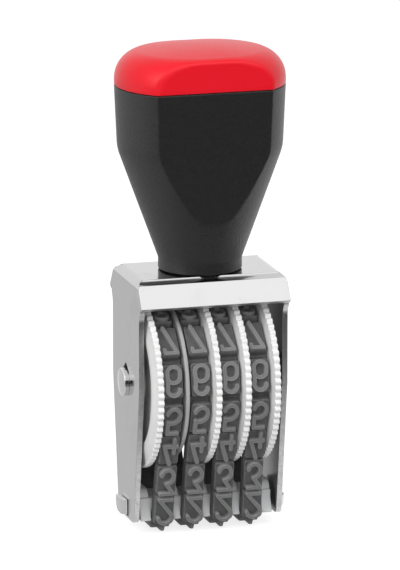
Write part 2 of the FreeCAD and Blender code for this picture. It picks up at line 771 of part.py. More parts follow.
def stroke_face(kind, points, width, height, stroke):
    """A rounded stroke of one character, flat in XY and head down: the mirror image of a stamp."""
    places = [Vec(share_x * width, -share_y * height, 0) for share_x, share_y in points]
    radius = stroke / 2
    dots = [Part.Face(Part.Wire(Part.makeCircle(radius, place))) for place in (places[0], places[-1])]
    if kind == "line":
        along = places[1] - places[0]
        side = Vec(-along.y, along.x, 0).normalize() * radius
        ring = [places[0] + side, places[1] + side, places[1] - side, places[0] - side]
        body = Part.Face(Part.makePolygon(ring + ring[:1]))
    else:
        arc = Part.Arc(places[0], places[1], places[2]).toShape().Curve
        centre = arc.Center
        edges = []
        for reach in (arc.Radius + radius, arc.Radius - radius):
            spots = [centre + (place - centre).normalize() * reach for place in places]
            edges.append(Part.Arc(spots[0], spots[1], spots[2]).toShape())
        for place in (places[0], places[2]):
            outward = (place - centre).normalize() * radius
            edges.append(Part.LineSegment(place - outward, place + outward).toShape())
        body = Part.Face(Part.Wire(Part.sortEdges(edges)[0]))
    return [body] + dots


def character_block(name):
    """The raised character, its back at Z = 0, upright in XY."""
    stroke = size("digit_stroke")
    width = size("digit_width") - stroke
    height = size("digit_height") - stroke
    faces = []
    for entry in GLYPH_SHARES[name]:
        faces += stroke_face(entry[0], entry[1:], width, height, stroke)
    if not faces:
        return None
    joined = faces[0].multiFuse(faces[1:]).removeSplitter()
    tall = size("digit_relief") + size("pad_height") / 2
    return joined.extrude(Vec(0, 0, tall))


def pad_block():
    """One raised pad, flat on top, with drafted sides and its base in the belt at Z = 0."""
    tall = size("pad_height") + size("belt_thickness") / 2
    draft = size("pad_draft")
    rings = []
    for height, grow in ((0, 2 * draft), (tall, 0)):
        long = size("pad_length") / 2 + grow / 2
        wide = size("pad_width") / 2 + grow / 2
        ring = [Vec(-wide, -long, height), Vec(wide, -long, height), Vec(wide, long, height),
                Vec(-wide, long, height)]
        rings.append(Part.makePolygon(ring + ring[:1]))
    return Part.makeLoft(rings, True, True)


def band_solid(wheel_centre, comb_centre, blocks, pad):
    """One band: belt, pads and characters, at its wheel above and at its comb gap below."""
    path = band_path()
    shift = comb_centre - wheel_centre
    pieces = []
    count = int(size("pad_count"))
    pitch = sum(path_stretches(path)) / count
    tall = size("pad_height") + size("belt_thickness") / 2
    for number in range(count):
        (y, z), (ny, nz) = path_place(path, number * pitch)
        up = Vec(0, nz, -ny)
        out = Vec(0, ny, nz)
        matrix = FreeCAD.Matrix(1, 0, 0, slant(path, z, shift), 0, up.y, out.y, y, 0, up.z, out.z, z)
        placement = FreeCAD.Placement(matrix)
        pieces.append(pad.transformed(placement.toMatrix()))
        block = blocks[CHARACTERS[number % len(CHARACTERS)]]
        if block:
            raised = block.translated(Vec(0, 0, tall - size("pad_height") / 2))
            pieces.append(raised.transformed(placement.toMatrix()))
    whole = belt(path, shift).multiFuse(pieces).removeSplitter()
    whole.translate(Vec(wheel_centre, 0, 0))
    return whole


def band_centres():
    """Sideways places of the bands: on the wheels, and in the comb."""
    half = size("band_width") / 2 + size("band_side_gap") + size("flank_width")
    upper = [size("first_rim_face") + half]
    for number in BANDS[1:]:
        upper.append(worked(rim_face_of(number)) - size("rim_width") - half)
    lower = [size("comb_pitch") * (number - ROW_MIDDLE) for number in BANDS]
    return list(zip(upper, lower))


def number_bands():
    blocks = {name: character_block(name) for name in GLYPH_SHARES}
    pad = pad_block()
    for number, (upper, lower) in enumerate(band_centres(), start=1):
        solid_piece("number_band_%d" % number, band_solid(upper, lower, blocks, pad))


# Foot

def print_bridge():
    """Steel strip on edge across the foot. Its ends pass the side plates and are folded flat,
    the left one backward and the right one forward."""
    body = new_body("print_bridge")
    plan = new_sketch(body, "XY_Plane", "bridge_foot")
    half = "( bridge_gauge / 2 )"
    face = "( frame_width / 2 + bridge_lift )"
    outer = "( frame_width / 2 + bridge_lift + bridge_gauge )"
    turn_in = "bridge_turn"
    turn_out = "( bridge_turn + bridge_gauge )"
    outline(plan, [
        ("-1 * %s + %s" % (outer, turn_out), "-1 * " + half),
        ("%s - %s" % (face, turn_in), "-1 * " + half, turn_in, 1),
        (face, "-1 * %s - %s" % (half, turn_in)),
        (face, "-1 * lug_length"),
        (outer, "-1 * lug_length"),
        (outer, "%s - %s" % (half, turn_out), turn_out, -1),
        ("%s - %s" % (outer, turn_out), half),
        ("-1 * %s + %s" % (face, turn_in), half, turn_in, 1),
        ("-1 * " + face, "%s + %s" % (half, turn_in)),
        ("-1 * " + face, "lug_length"),
        ("-1 * " + outer, "lug_length"),
        ("-1 * " + outer, "-1 * %s + %s" % (half, turn_out), turn_out, -1),
    ])
    strip = extrude(body, "Pad", plan, "bridge_height")
    reach = size("lug_length")
    low = size("bridge_foot")
    slack = Part.Precision.confusion()

    def lug_corner(edge):
        centre = edge.CenterOfMass
        return (abs(abs(centre.y) - reach) < slack and abs(centre.z - low) < slack
                and edge.Length < 2 * size("bridge_gauge"))

    round_edges(body, strip, "lug_corner", lug_corner)
    return body


def bridge_comb():
    """Plastic comb: a bar inside the loops of the bands, with fins between and beside them."""
    body = new_body("bridge_comb")
    low = "( digit_relief + pad_height + belt_thickness + comb_play )"
    high = "( %s + comb_height )" % low
    half = "( foot_flat / 2 + foot_turn - comb_play )"
    flat = "( foot_flat / 2 )"
    turn_up = "( foot_turn - comb_play )"
    bar = new_sketch(body, "YZ_Plane")
    outline(bar, [
        ("-1 * " + flat, low),
        (flat, low, turn_up, -1),
        (half, "%s + %s" % (low, turn_up)),
        (half, high),
        ("-1 * " + half, high),
        ("-1 * " + half, "%s + %s" % (low, turn_up), turn_up, -1),
    ])
    extrude(body, "Pad", bar, "comb_width", middle=True)
    fin_low = "( %s - fin_reach )" % low
    fin_high = "( %s + fin_height )" % fin_low
    inner_side = "( band_width / 2 + fin_side_gap )"
    centres = ["( %.1f * comb_pitch )" % (number - ROW_MIDDLE) for number in BANDS]
    lefts = ["-1 * comb_width / 2"] + ["%s + %s" % (centre, inner_side) for centre in centres]
    rights = ["%s - %s" % (centre, inner_side) for centre in centres] + ["comb_width / 2"]
    for left, right in zip(lefts, rights):
        fin = new_sketch(body, "YZ_Plane", left)
        outline(fin, [
            ("-1 * fin_foot_depth / 2", fin_low),
            ("fin_foot_depth / 2", fin_low),
            ("fin_top_depth / 2", fin_high + " - fin_round", "fin_round * fin_arc_share", -1),
            ("fin_top_depth / 2 - fin_round", fin_high),
            ("-1 * fin_top_depth / 2 + fin_round", fin_high, "fin_round * fin_arc_share", -1),
            ("-1 * fin_top_depth / 2", fin_high + " - fin_round"),
        ])
        extrude(body, "Pad", fin, "( %s ) - ( %s )" % (right, left))
    # A groove, open below, sits astride the bridge.
    groove = new_sketch(body, "YZ_Plane")
    side = "( bridge_gauge / 2 + bridge_lift )"
    rectangle(groove, "-1 * " + side, side, "bridge_foot - bridge_height",
              "bridge_foot + bridge_height + bridge_lift")
    extrude(body, "Pocket", groove, "comb_width + sheet_gauge", middle=True)
    return body


# Grip

def grip_section(body, height, radius, half_flat):
    """Flat-sided oval: two half circles joined by straight lines."""
    section = new_sketch(body, "XY_Plane", height)
    outline(section, [
        ("-1 * ( %s )" % half_flat, "-1 * ( %s )" % radius),
        (half_flat, "-1 * ( %s )" % radius, radius, -1, half_flat),
        (half_flat, radius),
        ("-1 * ( %s )" % half_flat, radius, radius, -1, "-1 * ( %s )" % half_flat),
    ])
    return section


def loft(body, kind, sections):
    feature = body.newObject("PartDesign::" + kind, body.Label + "_" + kind.lower())
    feature.Profile = sections[0]
    feature.Sections = sections[1:]
    feature.Ruled = True
    doc.recompute()
    return feature


def cut_facets(body, low, high):
    """Cut the flat front and back, which lean in a little towards the foot."""
    lean = "( facet_draft / ( grip_seam - facet_foot ) )"
    near_low = "( facet_depth / 2 - ( grip_seam - ( %s ) ) * %s )" % (low, lean)
    near_high = "( facet_depth / 2 - ( grip_seam - ( %s ) ) * %s )" % (high, lean)
    beyond = "( 2 * grip_side_radius )"
    front = new_sketch(body, "YZ_Plane")
    outline(front, [
        ("-1 * " + beyond, low),
        ("-1 * " + near_low, low),
        ("-1 * " + near_high, high),
        ("-1 * " + beyond, high),
    ])
    cut = extrude(body, "Pocket", front, "4 * grip_side_radius", middle=True)
    return mirror(body, [cut], "XZ_Plane")


def handle_body():
    """Moulded grip: round neck, tapering oval body, flat front and back, hollow under the cap."""
    body = new_body("handle_body")
    spigot = new_sketch(body, "XY_Plane", "top_height")
    circle(spigot, "spigot_diameter")
    extrude(body, "Pad", spigot, "2 * neck_gap")
    neck = "( neck_diameter / 2 - neck_half_flat )"
    foot = "( top_height + neck_gap )"
    shoulder = "( %s + neck_height )" % foot
    collar = grip_section(body, foot, neck, "neck_half_flat")
    extrude(body, "Pad", collar, "neck_height")
    kink_radius = "( grip_side_radius - grip_side_draft )"
    share = "( kink_round / ( grip_kink - %s ) )" % shoulder
    rise = "( kink_round / ( grip_seam - grip_kink ) )"
    sections = [
        grip_section(body, shoulder, neck, "neck_half_flat"),
        grip_section(body, "grip_kink - kink_round",
                     "%s - ( %s - %s ) * %s" % (kink_radius, kink_radius, neck, share),
                     "grip_half_flat * kink_flat_share"),
        grip_section(body, "grip_kink + kink_round",
                     "%s + grip_side_draft * %s" % (kink_radius, rise), "grip_half_flat"),
        grip_section(body, "grip_seam", "grip_side_radius", "grip_half_flat"),
    ]
    loft(body, "AdditiveLoft", sections)
    cut_facets(body, shoulder, "grip_seam + grip_wall")

    room = "( facet_depth / 2 - grip_wall )"
    reach = "( grip_side_radius + grip_half_flat - grip_wall )"
    cavity = [
        grip_section(body, "grip_seam", room, "%s - %s" % (reach, room)),
        grip_section(body, "grip_kink", room, "%s - %s" % (reach, room)),
        grip_section(body, "cavity_floor", "cavity_floor_radius", "grip_half_flat / 4"),
    ]
    loft(body, "SubtractiveLoft", cavity)

    bore = new_sketch(body, "XY_Plane", "top_height")
    circle(bore, "screw_diameter + screw_hole_play")
    extrude(body, "Pocket", bore, "screw_length + neck_gap", backward=True)
    pocket = new_sketch(body, "XY_Plane", "top_height + insert_depth")
    circle(pocket, "insert_diameter")
    extrude(body, "Pocket", pocket, "insert_length", backward=True)
    return body


def handle_cap():
    """Moulded cap: a domed oval that continues the grip, cut flat front and back, and a skirt."""
    body = new_body("handle_cap")
    seam = grip_section(body, "grip_seam", "grip_side_radius", "grip_half_flat")
    block = extrude(body, "Pad", seam, "cap_height")
    low = size("grip_seam")
    tall = size("cap_height")
    slack = Part.Precision.confusion()

    def top_edge(edge):
        return all(abs(vertex.Z - low - tall) < slack for vertex in edge.Vertexes)

    round_edges(body, block, "cap_round", top_edge)
    cut = cut_facets(body, "grip_seam - cap_height", "grip_seam + 2 * cap_height")
    front = size("facet_depth") / 2 - size("facet_draft")

    def facet_edge(edge):
        return (abs(edge.Vertexes[0].Y) > front and abs(edge.Vertexes[-1].Y) > front
                and edge.Vertexes[0].Y * edge.Vertexes[-1].Y > 0
                and max(vertex.Z for vertex in edge.Vertexes) > low + slack
                and edge.BoundBox.YLength < size("facet_draft"))

    round_edges(body, cut, "cap_corner", facet_edge)
    room = "( facet_depth / 2 - grip_wall - cap_play )"
    reach = "( grip_side_radius + grip_half_flat - grip_wall - cap_play )"
    skirt = grip_section(body, "grip_seam", room, "%s - %s" % (reach, room))
    extrude(body, "Pad", skirt, "cap_skirt", backward=True)
    inner_room = "( %s - grip_wall / 2 )" % room
    inner_reach = "( %s - grip_wall / 2 )" % reach
    hollow = grip_section(body, "grip_seam - cap_skirt", inner_room, "%s - %s" % (inner_reach, inner_room))
    extrude(body, "Pocket", hollow, "cap_skirt + cap_height - cap_round", backward=True)
    return body


def handle_fixing():
    """Brass insert in the neck, slotted screw from under the top plate, and its washer."""
    insert = new_body("handle_insert")
    section = new_sketch(insert, "XY_Plane", "top_height + insert_depth")
    circle(section, "insert_diameter")
    extrude(insert, "Pad", section, "insert_length")
    bore = new_sketch(insert, "XY_Plane", "top_height + insert_depth")
    circle(bore, "screw_diameter")
    extrude(insert, "Pocket", bore, "insert_length", backward=True)

    washer = new_body("lock_washer")
    under = "( top_height - sheet_gauge )"
    section = new_sketch(washer, "XY_Plane", under)
    circle(section, "lock_washer_diameter")
    extrude(washer, "Pad", section, "lock_washer_width", backward=True)
    bore = new_sketch(washer, "XY_Plane", under)
    circle(bore, "screw_diameter + screw_hole_play")
    extrude(washer, "Pocket", bore, "lock_washer_width")

    screw = new_body("handle_screw")
    seat = "( %s - lock_washer_width )" % under
    section = new_sketch(screw, "XY_Plane", seat)
    circle(section, "screw_head_diameter")
    extrude(screw, "Pad", section, "screw_head_height", backward=True)
    shank = new_sketch(screw, "XY_Plane", seat)
    circle(shank, "screw_diameter")
    extrude(screw, "Pad", shank, "screw_length")
    slot = new_sketch(screw, "XY_Plane", seat + " - screw_head_height")
    rectangle(slot, "-1 * screw_slot_width / 2", "screw_slot_width / 2",
              "-1 * screw_head_diameter", "screw_head_diameter")
    extrude(screw, "Pocket", slot, "screw_slot_depth", backward=True)


frame_shell()
axle_rivet()
number_wheels()
axle_rings()
number_bands()
print_bridge()
bridge_comb()
handle_body()
handle_cap()
handle_fixing()
doc.recompute()

for item in doc.Objects:
    if "Invalid" in item.State or "Error" in item.State:
        raise RuntimeError("%s is %s" % (item.Label, item.State))
for item in subparts:
    if item.Shape.isNull() or not item.Shape.isValid() or not item.Shape.Solids:
        raise RuntimeError("%s has no valid solid" % item.Label)

os.makedirs("parts", exist_ok=True)
for item in subparts:
    item.Shape.exportStep("parts/%s.step" % item.Label)
    box = item.Shape.BoundBox
    print("%-20s %d solid  volume %9.1f  x %6.2f..%6.2f  y %6.2f..%6.2f  z %6.2f..%6.2f" % (
        item.Label, len(item.Shape.Solids), item.Shape.Volume,
        box.XMin, box.XMax, box.YMin, box.YMax, box.ZMin, box.ZMax))
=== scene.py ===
import math
import bmesh
import bpy
import numpy as np
from mathutils import Matrix, Vector


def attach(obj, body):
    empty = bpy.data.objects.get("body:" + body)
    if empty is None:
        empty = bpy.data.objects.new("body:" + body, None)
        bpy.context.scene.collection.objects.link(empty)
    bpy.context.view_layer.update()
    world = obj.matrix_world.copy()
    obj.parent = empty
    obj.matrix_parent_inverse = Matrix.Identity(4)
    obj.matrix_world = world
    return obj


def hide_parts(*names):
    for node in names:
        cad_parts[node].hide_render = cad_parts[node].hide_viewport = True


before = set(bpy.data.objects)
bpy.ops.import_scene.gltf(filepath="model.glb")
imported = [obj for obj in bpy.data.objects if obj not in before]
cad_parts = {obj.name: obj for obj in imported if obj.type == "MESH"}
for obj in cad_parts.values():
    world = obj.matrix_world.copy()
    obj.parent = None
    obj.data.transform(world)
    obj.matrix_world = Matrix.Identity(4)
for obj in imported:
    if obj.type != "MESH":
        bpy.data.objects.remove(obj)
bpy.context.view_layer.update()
mm = 0.001
tiny, farAway = 1e-9, 9.0
# what counts as the same place, as a sliver and as flat when a mesh is cleaned, in metres and degrees
cleaning = {"samePoint": 1e-7, "sliver": 1e-8, "sameCorner": 1e-6, "flatDegrees": 0.4, "besideCosine": 0.9}
print("frame loaded:", len(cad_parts), "nodes")

photoCamera = {
    "azimuth": -15.934, "elevation": 13.139, "distance": 1300.48, "focalPixels": 6074.14,
    "aimHeight": 56.0, "aimPixel": (199.908, 271.221), "imageSize": (400, 570), "sensorHeight": 36.0,
}


def placeCamera(values):
    # the point on the axis at aimHeight shows at aimPixel: the camera slides across its view by the pixel's
    # offset from the middle of the image, times distance over focal length
    azimuth, elevation = math.radians(values["azimuth"]), math.radians(values["elevation"])
    back = Vector((math.sin(azimuth) * math.cos(elevation), -math.cos(azimuth) * math.cos(elevation),
                   math.sin(elevation)))
    right = (-back).cross(Vector((0, 0, 1))).normalized()
    up = right.cross(-back)
    width, height = values["imageSize"]
    perPixel = values["distance"] / values["focalPixels"]
    across = (values["aimPixel"][0] - width / 2) * perPixel
    above = -(values["aimPixel"][1] - height / 2) * perPixel
    place = Vector((0, 0, values["aimHeight"])) - right * across - up * above + back * values["distance"]
    data = bpy.data.cameras.new("camera")
    data.sensor_fit = "VERTICAL"
    data.sensor_height = values["sensorHeight"]
    data.lens = values["focalPixels"] * values["sensorHeight"] / height
    holder = bpy.data.objects.new("camera", data)
    bpy.context.scene.collection.objects.link(holder)
    turn = Matrix((right, up, back)).transposed().to_4x4()
    holder.matrix_world = Matrix.Translation(place * mm) @ turn
    bpy.context.scene.camera = holder


placeCamera(photoCamera)
print("camera placed")


# Finishes

class Signal:
    # a socket that takes part in sums: each operator adds one Math node
    def __init__(self, finish, socket):
        self.finish = finish
        self.socket = socket

    def math(self, operation, first, second):
        return self.finish.node("ShaderNodeMath", {"operation": operation}, {0: first, 1: second})

    def __add__(self, other):
        return self.math("ADD", self, other)

    def __radd__(self, other):
        return self.math("ADD", other, self)

    def __sub__(self, other):
        return self.math("SUBTRACT", self, other)

    def __rsub__(self, other):
        return self.math("SUBTRACT", other, self)

    def __mul__(self, other):
        return self.math("MULTIPLY", self, other)

    def __rmul__(self, other):
        return self.math("MULTIPLY", other, self)


class Finish:
    # one material or world: constants go straight on the shader's sockets, patterns feed the few that vary
    def __init__(self, name, constants, holder=None, shaderName="Principled BSDF"):
        self.material = holder or bpy.data.materials.new(name)
        self.material.use_nodes = True
        self.tree = self.material.node_tree
        self.shader = self.tree.nodes[shaderName]
        for key, value in constants.items():
            self.shader.inputs[key].default_value = value
        self.place = self.node("ShaderNodeTexCoord", {}, {}, "Object")

    def node(self, kind, settings, inputs, output=0):
        made = self.tree.nodes.new(kind)
        for key, value in settings.items():
            setattr(made, key, value)
        for key, value in inputs.items():
            self.feed(made.inputs[key], value)
        return Signal(self, made.outputs[output])

    def feed(self, socket, value):
        if isinstance(value, Signal):
            self.tree.links.new(value.socket, socket)
        else:
            socket.default_value = value

    def set(self, key, value):
        self.feed(self.shader.inputs[key], value)

    def stretched(self, factors):
        return self.node("ShaderNodeVectorMath", {"operation": "MULTIPLY"}, {0: self.place, 1: factors})

    def noise(self, scale, detail=3.0, roughness=0.5, factors=None):
        place = self.stretched(factors) if factors else self.place
        return self.node("ShaderNodeTexNoise", {}, {"Vector": place, "Scale": scale, "Detail": detail,
                                                    "Roughness": roughness})

    def grade(self, value, low, high, toLow=0.0, toHigh=1.0):
        return self.node("ShaderNodeMapRange", {"interpolation_type": "SMOOTHSTEP"},
                         {"Value": value, "From Min": low, "From Max": high, "To Min": toLow,
                          "To Max": toHigh})

    def mixColor(self, factor, first, second):
        return self.node("ShaderNodeMix", {"data_type": "RGBA"}, {0: factor, 6: first, 7: second}, 2)

    def attribute(self, name):
        return self.node("ShaderNodeAttribute", {"attribute_name": name}, {}, "Fac")

    def bump(self, height, strength, distance, under=None):
        inputs = {"Height": height, "Strength": strength, "Distance": distance}
        if under:
            inputs["Normal"] = under
        return self.node("ShaderNodeBump", {}, inputs)


def shade(value, tint=(1, 1, 1)):
    return (value * tint[0], value * tint[1], value * tint[2], 1)


def mouldedBlack(values):
    # near black with a faint lighter mottling, and a fine pebbled grain in the roughness and the bump
    finish = Finish("mouldedBlack", {"Specular IOR Level": values["gloss"]})
    cloud = finish.noise(values["cloudScale"], 2.0)
    grain = finish.noise(values["grainScale"], 2.0, 0.6)
    finish.set("Base Color", finish.mixColor(cloud, shade(values["dark"]), shade(values["light"])))
    finish.set("Roughness", values["roughness"] + (grain - 0.5) * values["roughnessSwing"])
    finish.set("Normal", finish.bump(grain, values["grainBump"], values["grainDepth"]))
    return finish.material


def mouldedRed(values):
    # saturated red with a faint darker cloud, satin, with a very fine orange peel
    finish = Finish("mouldedRed", {"Specular IOR Level": values["gloss"]})
    cloud = finish.noise(values["cloudScale"], 2.0)
    peel = finish.noise(values["peelScale"], 2.0, 0.55)
    finish.set("Base Color", finish.mixColor(cloud, shade(1, values["deep"]), shade(1, values["bright"])))
    finish.set("Roughness", values["roughness"] + (peel - 0.5) * values["roughnessSwing"])
    finish.set("Normal", finish.bump(peel, values["peelBump"], values["peelDepth"]))
    return finish.material


def mouldedPale(name, values):
    # pale plastic: two near tints in slow clouds, fine flow marks in the roughness, a shallow uneven skin
    finish = Finish(name, {"Specular IOR Level": values["gloss"]})
    cloud = finish.noise(values["cloudScale"], 3.0)
    skin = finish.noise(values["skinScale"], 3.0, 0.6)
    dark, light = shade(values["dark"], values["tint"]), shade(values["light"], values["tint"])
    finish.set("Base Color", finish.mixColor(finish.grade(cloud, 0.3, 0.7), dark, light))
    finish.set("Roughness", values["roughness"] + (skin - 0.5) * values["roughnessSwing"])
    finish.set("Normal", finish.bump(skin, values["skinBump"], values["skinDepth"]))
    return finish.material


def mouldedRubber(values):
    # dark grey rubber: the raised strokes are paler, and a painted highlight lies along the rims of strokes
    # and pads, its strength varied by the dust speckle; everything has a fine dusty speckle and a soft grain
    finish = Finish("mouldedRubber", {"Specular IOR Level": values["gloss"]})
    relief = finish.attribute("relief")
    rim = finish.attribute("rim")
    dust = finish.noise(values["dustScale"], 4.0, 0.65)
    grain = finish.noise(values["grainScale"], 2.0, 0.6)
    base = finish.mixColor(finish.grade(dust, 0.25, 0.8), shade(values["dark"]), shade(values["light"]))
    raised = finish.mixColor(relief, base, shade(values["stroke"]))
    # the painted highlight along the rims of strokes and pads, stronger where the dust speckle is
    rimHighlighted = finish.mixColor(rim * (values["rimLow"] + dust * values["rimDust"]), raised, shade(values["rim"]))
    finish.set("Base Color", rimHighlighted)
    finish.set("Roughness", values["roughness"] + (grain - 0.5) * values["roughnessSwing"])
    finish.set("Normal", finish.bump(grain, values["grainBump"], values["grainDepth"]))
    return finish.material


def platedSheet(values):
    # bright plating over rolled sheet: slow waves bend the reflections, faint streaks run up the sheet
    # in the roughness, and a few soft smudges dull it
    finish = Finish("platedSheet", {"Metallic": 1.0})
    smudge = finish.grade(finish.noise(values["smudgeScale"], 4.0, 0.6), 0.5, 0.75)
    streak = finish.noise(values["streakScale"], 3.0, 0.6, values["streakFactors"])
    wave = finish.noise(values["waveScale"], 1.0)
    finish.set("Base Color", finish.mixColor(smudge, shade(values["bright"]), shade(values["dull"])))
    finish.set("Roughness", values["roughness"] + streak * values["streakRoughness"]
               + smudge * values["smudgeRoughness"])
    finish.set("Normal", finish.bump(wave, values["waveBump"], values["waveDepth"]))
    return finish.material


def shearedEdge(values):
    # torn grey metal of a sheared edge: coarse grain in colour, roughness and bump
    finish = Finish("shearedEdge", {"Metallic": 1.0})
    grain = finish.noise(values["grainScale"], 5.0, 0.7)
    patch = finish.noise(values["patchScale"], 2.0, 0.5)
    torn = finish.grade(grain * 0.7 + patch * 0.3, 0.35, 0.65)
    finish.set("Base Color", finish.mixColor(torn, shade(values["dark"]), shade(values["bright"])))
    finish.set("Roughness", values["roughness"] - torn * values["roughnessSwing"])
    finish.set("Normal", finish.bump(grain, values["grainBump"], values["grainDepth"]))
    return finish.material


def turnedMetal(name, values):
    # plain metal with fine marks and patches of dulling
    finish = Finish(name, {"Metallic": 1.0})
    patch = finish.noise(values["patchScale"], 3.0, 0.6)
    mark = finish.noise(values["markScale"], 2.0, 0.6, values["markFactors"])
    finish.set("Base Color", finish.mixColor(patch, shade(values["dark"], values["tint"]),
                                             shade(values["bright"], values["tint"])))
    finish.set("Roughness", values["roughness"] + (mark - 0.5) * values["roughnessSwing"])
    finish.set("Normal", finish.bump(mark, values["markBump"], values["markDepth"]))
    return finish.material


finishes = {
    "grip": mouldedBlack({
        "dark": 0.008, "light": 0.017, "gloss": 0.6, "cloudScale": 1500, "grainScale": 1900,
        "roughness": 0.44, "roughnessSwing": 0.2, "grainBump": 0.8, "grainDepth": 0.00012}),
    "cap": mouldedRed({
        "deep": (0.78, 0.002, 0.012), "bright": (0.86, 0.003, 0.017), "gloss": 0.38, "cloudScale": 90,
        "peelScale": 1500, "roughness": 0.34, "roughnessSwing": 0.1, "peelBump": 0.25,
        "peelDepth": 0.00004}),
    "wheel": mouldedPale("wheelNylon", {
        "dark": 0.86, "light": 0.91, "tint": (1, 1, 0.995), "gloss": 0.45, "cloudScale": 160,
        "skinScale": 900, "roughness": 0.42, "roughnessSwing": 0.14, "skinBump": 0.3,
        "skinDepth": 0.00006}),
    "disc": mouldedPale("discPlastic", {
        "dark": 0.38, "light": 0.45, "tint": (1, 1, 1), "gloss": 0.4, "cloudScale": 150,
        "skinScale": 1200, "roughness": 0.45, "roughnessSwing": 0.16, "skinBump": 0.3,
        "skinDepth": 0.00005}),
    "comb": mouldedPale("combPlastic", {
        "dark": 0.66, "light": 0.74, "tint": (0.99, 1, 1.01), "gloss": 0.4, "cloudScale": 170,
        "skinScale": 1000, "roughness": 0.5, "roughnessSwing": 0.18, "skinBump": 0.4,
        "skinDepth": 0.00006}),
    # stroke colours the raised strokes; the next colour is the painted highlight along the rims of strokes and
    # pads
    "band": mouldedRubber({
        "dark": 0.08, "light": 0.115, "stroke": 0.19, "rim": 0.3, "gloss": 0.35, "dustScale": 700,
        "grainScale": 3200, "rimLow": 0.2, "rimDust": 0.9, "roughness": 0.62, "roughnessSwing": 0.16,
        "grainBump": 0.35, "grainDepth": 0.00005}),
    "sheet": platedSheet({
        "bright": 0.59, "dull": 0.55, "smudgeScale": 110, "streakScale": 220,
        "streakFactors": (6, 6, 0.4), "waveScale": 70, "roughness": 0.09, "streakRoughness": 0.08,
        "smudgeRoughness": 0.06, "waveBump": 0.12, "waveDepth": 0.0006}),
    # the frame's inner faces and undersides: near-black steel, painted shade for the shade inside the frame
    "inside": turnedMetal("sheetInsidePaintedShade", {
        "dark": 0.10, "bright": 0.17, "tint": (1, 1, 1.01), "patchScale": 160, "markScale": 260,
        "markFactors": (6, 6, 0.4), "roughness": 0.3, "roughnessSwing": 0.1, "markBump": 0.1,
        "markDepth": 0.00004}),
    "edge": shearedEdge({
        "dark": 0.42, "bright": 0.6, "grainScale": 3800, "patchScale": 900, "roughness": 0.46,
        "roughnessSwing": 0.1, "grainBump": 0.25, "grainDepth": 0.00006}),
    "steel": turnedMetal("turnedSteel", {
        "dark": 0.66, "bright": 0.78, "tint": (1, 1, 1.01), "patchScale": 400, "markScale": 900,
        "markFactors": (4, 1, 1), "roughness": 0.13, "roughnessSwing": 0.08, "markBump": 0.1,
        "markDepth": 0.00003}),
    "strip": turnedMetal("bridgeSteel", {
        "dark": 0.66, "bright": 0.74, "tint": (1, 1, 1.01), "patchScale": 500, "markScale": 500,
        "markFactors": (1, 1, 5), "roughness": 0.2, "roughnessSwing": 0.1, "markBump": 0.08,
        "markDepth": 0.00003}),
    "brass": turnedMetal("turnedBrass", {
        "dark": 0.62, "bright": 0.74, "tint": (1, 0.78, 0.42), "patchScale": 300, "markScale": 900,
        "markFactors": (1, 1, 6), "roughness": 0.24, "roughnessSwing": 0.12, "markBump": 0.2,
        "markDepth": 0.00005}),
    "washer": mouldedPale("hardFibre", {
        "dark": 0.06, "light": 0.09, "tint": (1, 1, 1), "gloss": 0.3, "cloudScale": 300,
        "skinScale": 1800, "roughness": 0.6, "roughnessSwing": 0.2, "skinBump": 0.4, "skinDepth": 0.00005}),
}
print("finishes made:", len(finishes))


# Shapes

def gridFaces(rows, columns, closeRows, closeColumns):
    # four-sided faces between neighbouring grid points, going round where a direction closes
    row, column = np.meshgrid(np.arange(rows if closeRows else rows - 1),
                              np.arange(columns if closeColumns else columns - 1), indexing="ij")
    nextRow, nextColumn = (row + 1) % rows, (column + 1) % columns
    corners = [row * columns + column, row * columns + nextColumn, nextRow * columns + nextColumn,
               nextRow * columns + column]
    return np.stack(corners, -1).reshape(-1, 4)


def surfacePiece(name, points, finish, body, nodes, closeRows=True, sharpAngle=40, marks=None):
    # a grid of points in millimetres becomes one closed mesh: poles are merged, normals point out
    rows, columns = points.shape[:2]
    faces = gridFaces(rows, columns, closeRows, True)
    mesh = bpy.data.meshes.new(name)
    mesh.vertices.add(rows * columns)
    mesh.vertices.foreach_set("co", (points * mm).astype(np.float32).ravel())
    mesh.loops.add(faces.size)
    mesh.loops.foreach_set("vertex_index", faces.astype(np.int32).ravel())
    mesh.polygons.add(len(faces))
    mesh.polygons.foreach_set("loop_start", np.arange(0, faces.size, 4, dtype=np.int32))
    mesh.update(calc_edges=True)
    for key, values in (marks or {}).items():
        mark = mesh.attributes.new(key, "FLOAT", "POINT")
        mark.data.foreach_set("value", values.astype(np.float32).ravel())
    work = bmesh.new()
    work.from_mesh(mesh)
    bmesh.ops.remove_doubles(work, verts=work.verts, dist=cleaning["samePoint"])
    bmesh.ops.dissolve_degenerate(work, edges=work.edges, dist=cleaning["sliver"])
    bmesh.ops.recalc_face_normals(work, faces=work.faces)
    work.to_mesh(mesh)
    work.free()
    mesh.polygons.foreach_set("use_smooth", np.ones(len(mesh.polygons), dtype=bool))
    mesh.set_sharp_from_angle(angle=math.radians(sharpAngle))
    mesh.materials.append(finish)
    piece = bpy.data.objects.new(name, mesh)
    bpy.context.scene.collection.objects.link(piece)
    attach(piece, body)
    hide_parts(*nodes)
    return piece


def smoothStep(t):
    # eases from 0 to 1: 3t^2 - 2t^3
    return t * t * (3 - 2 * t)


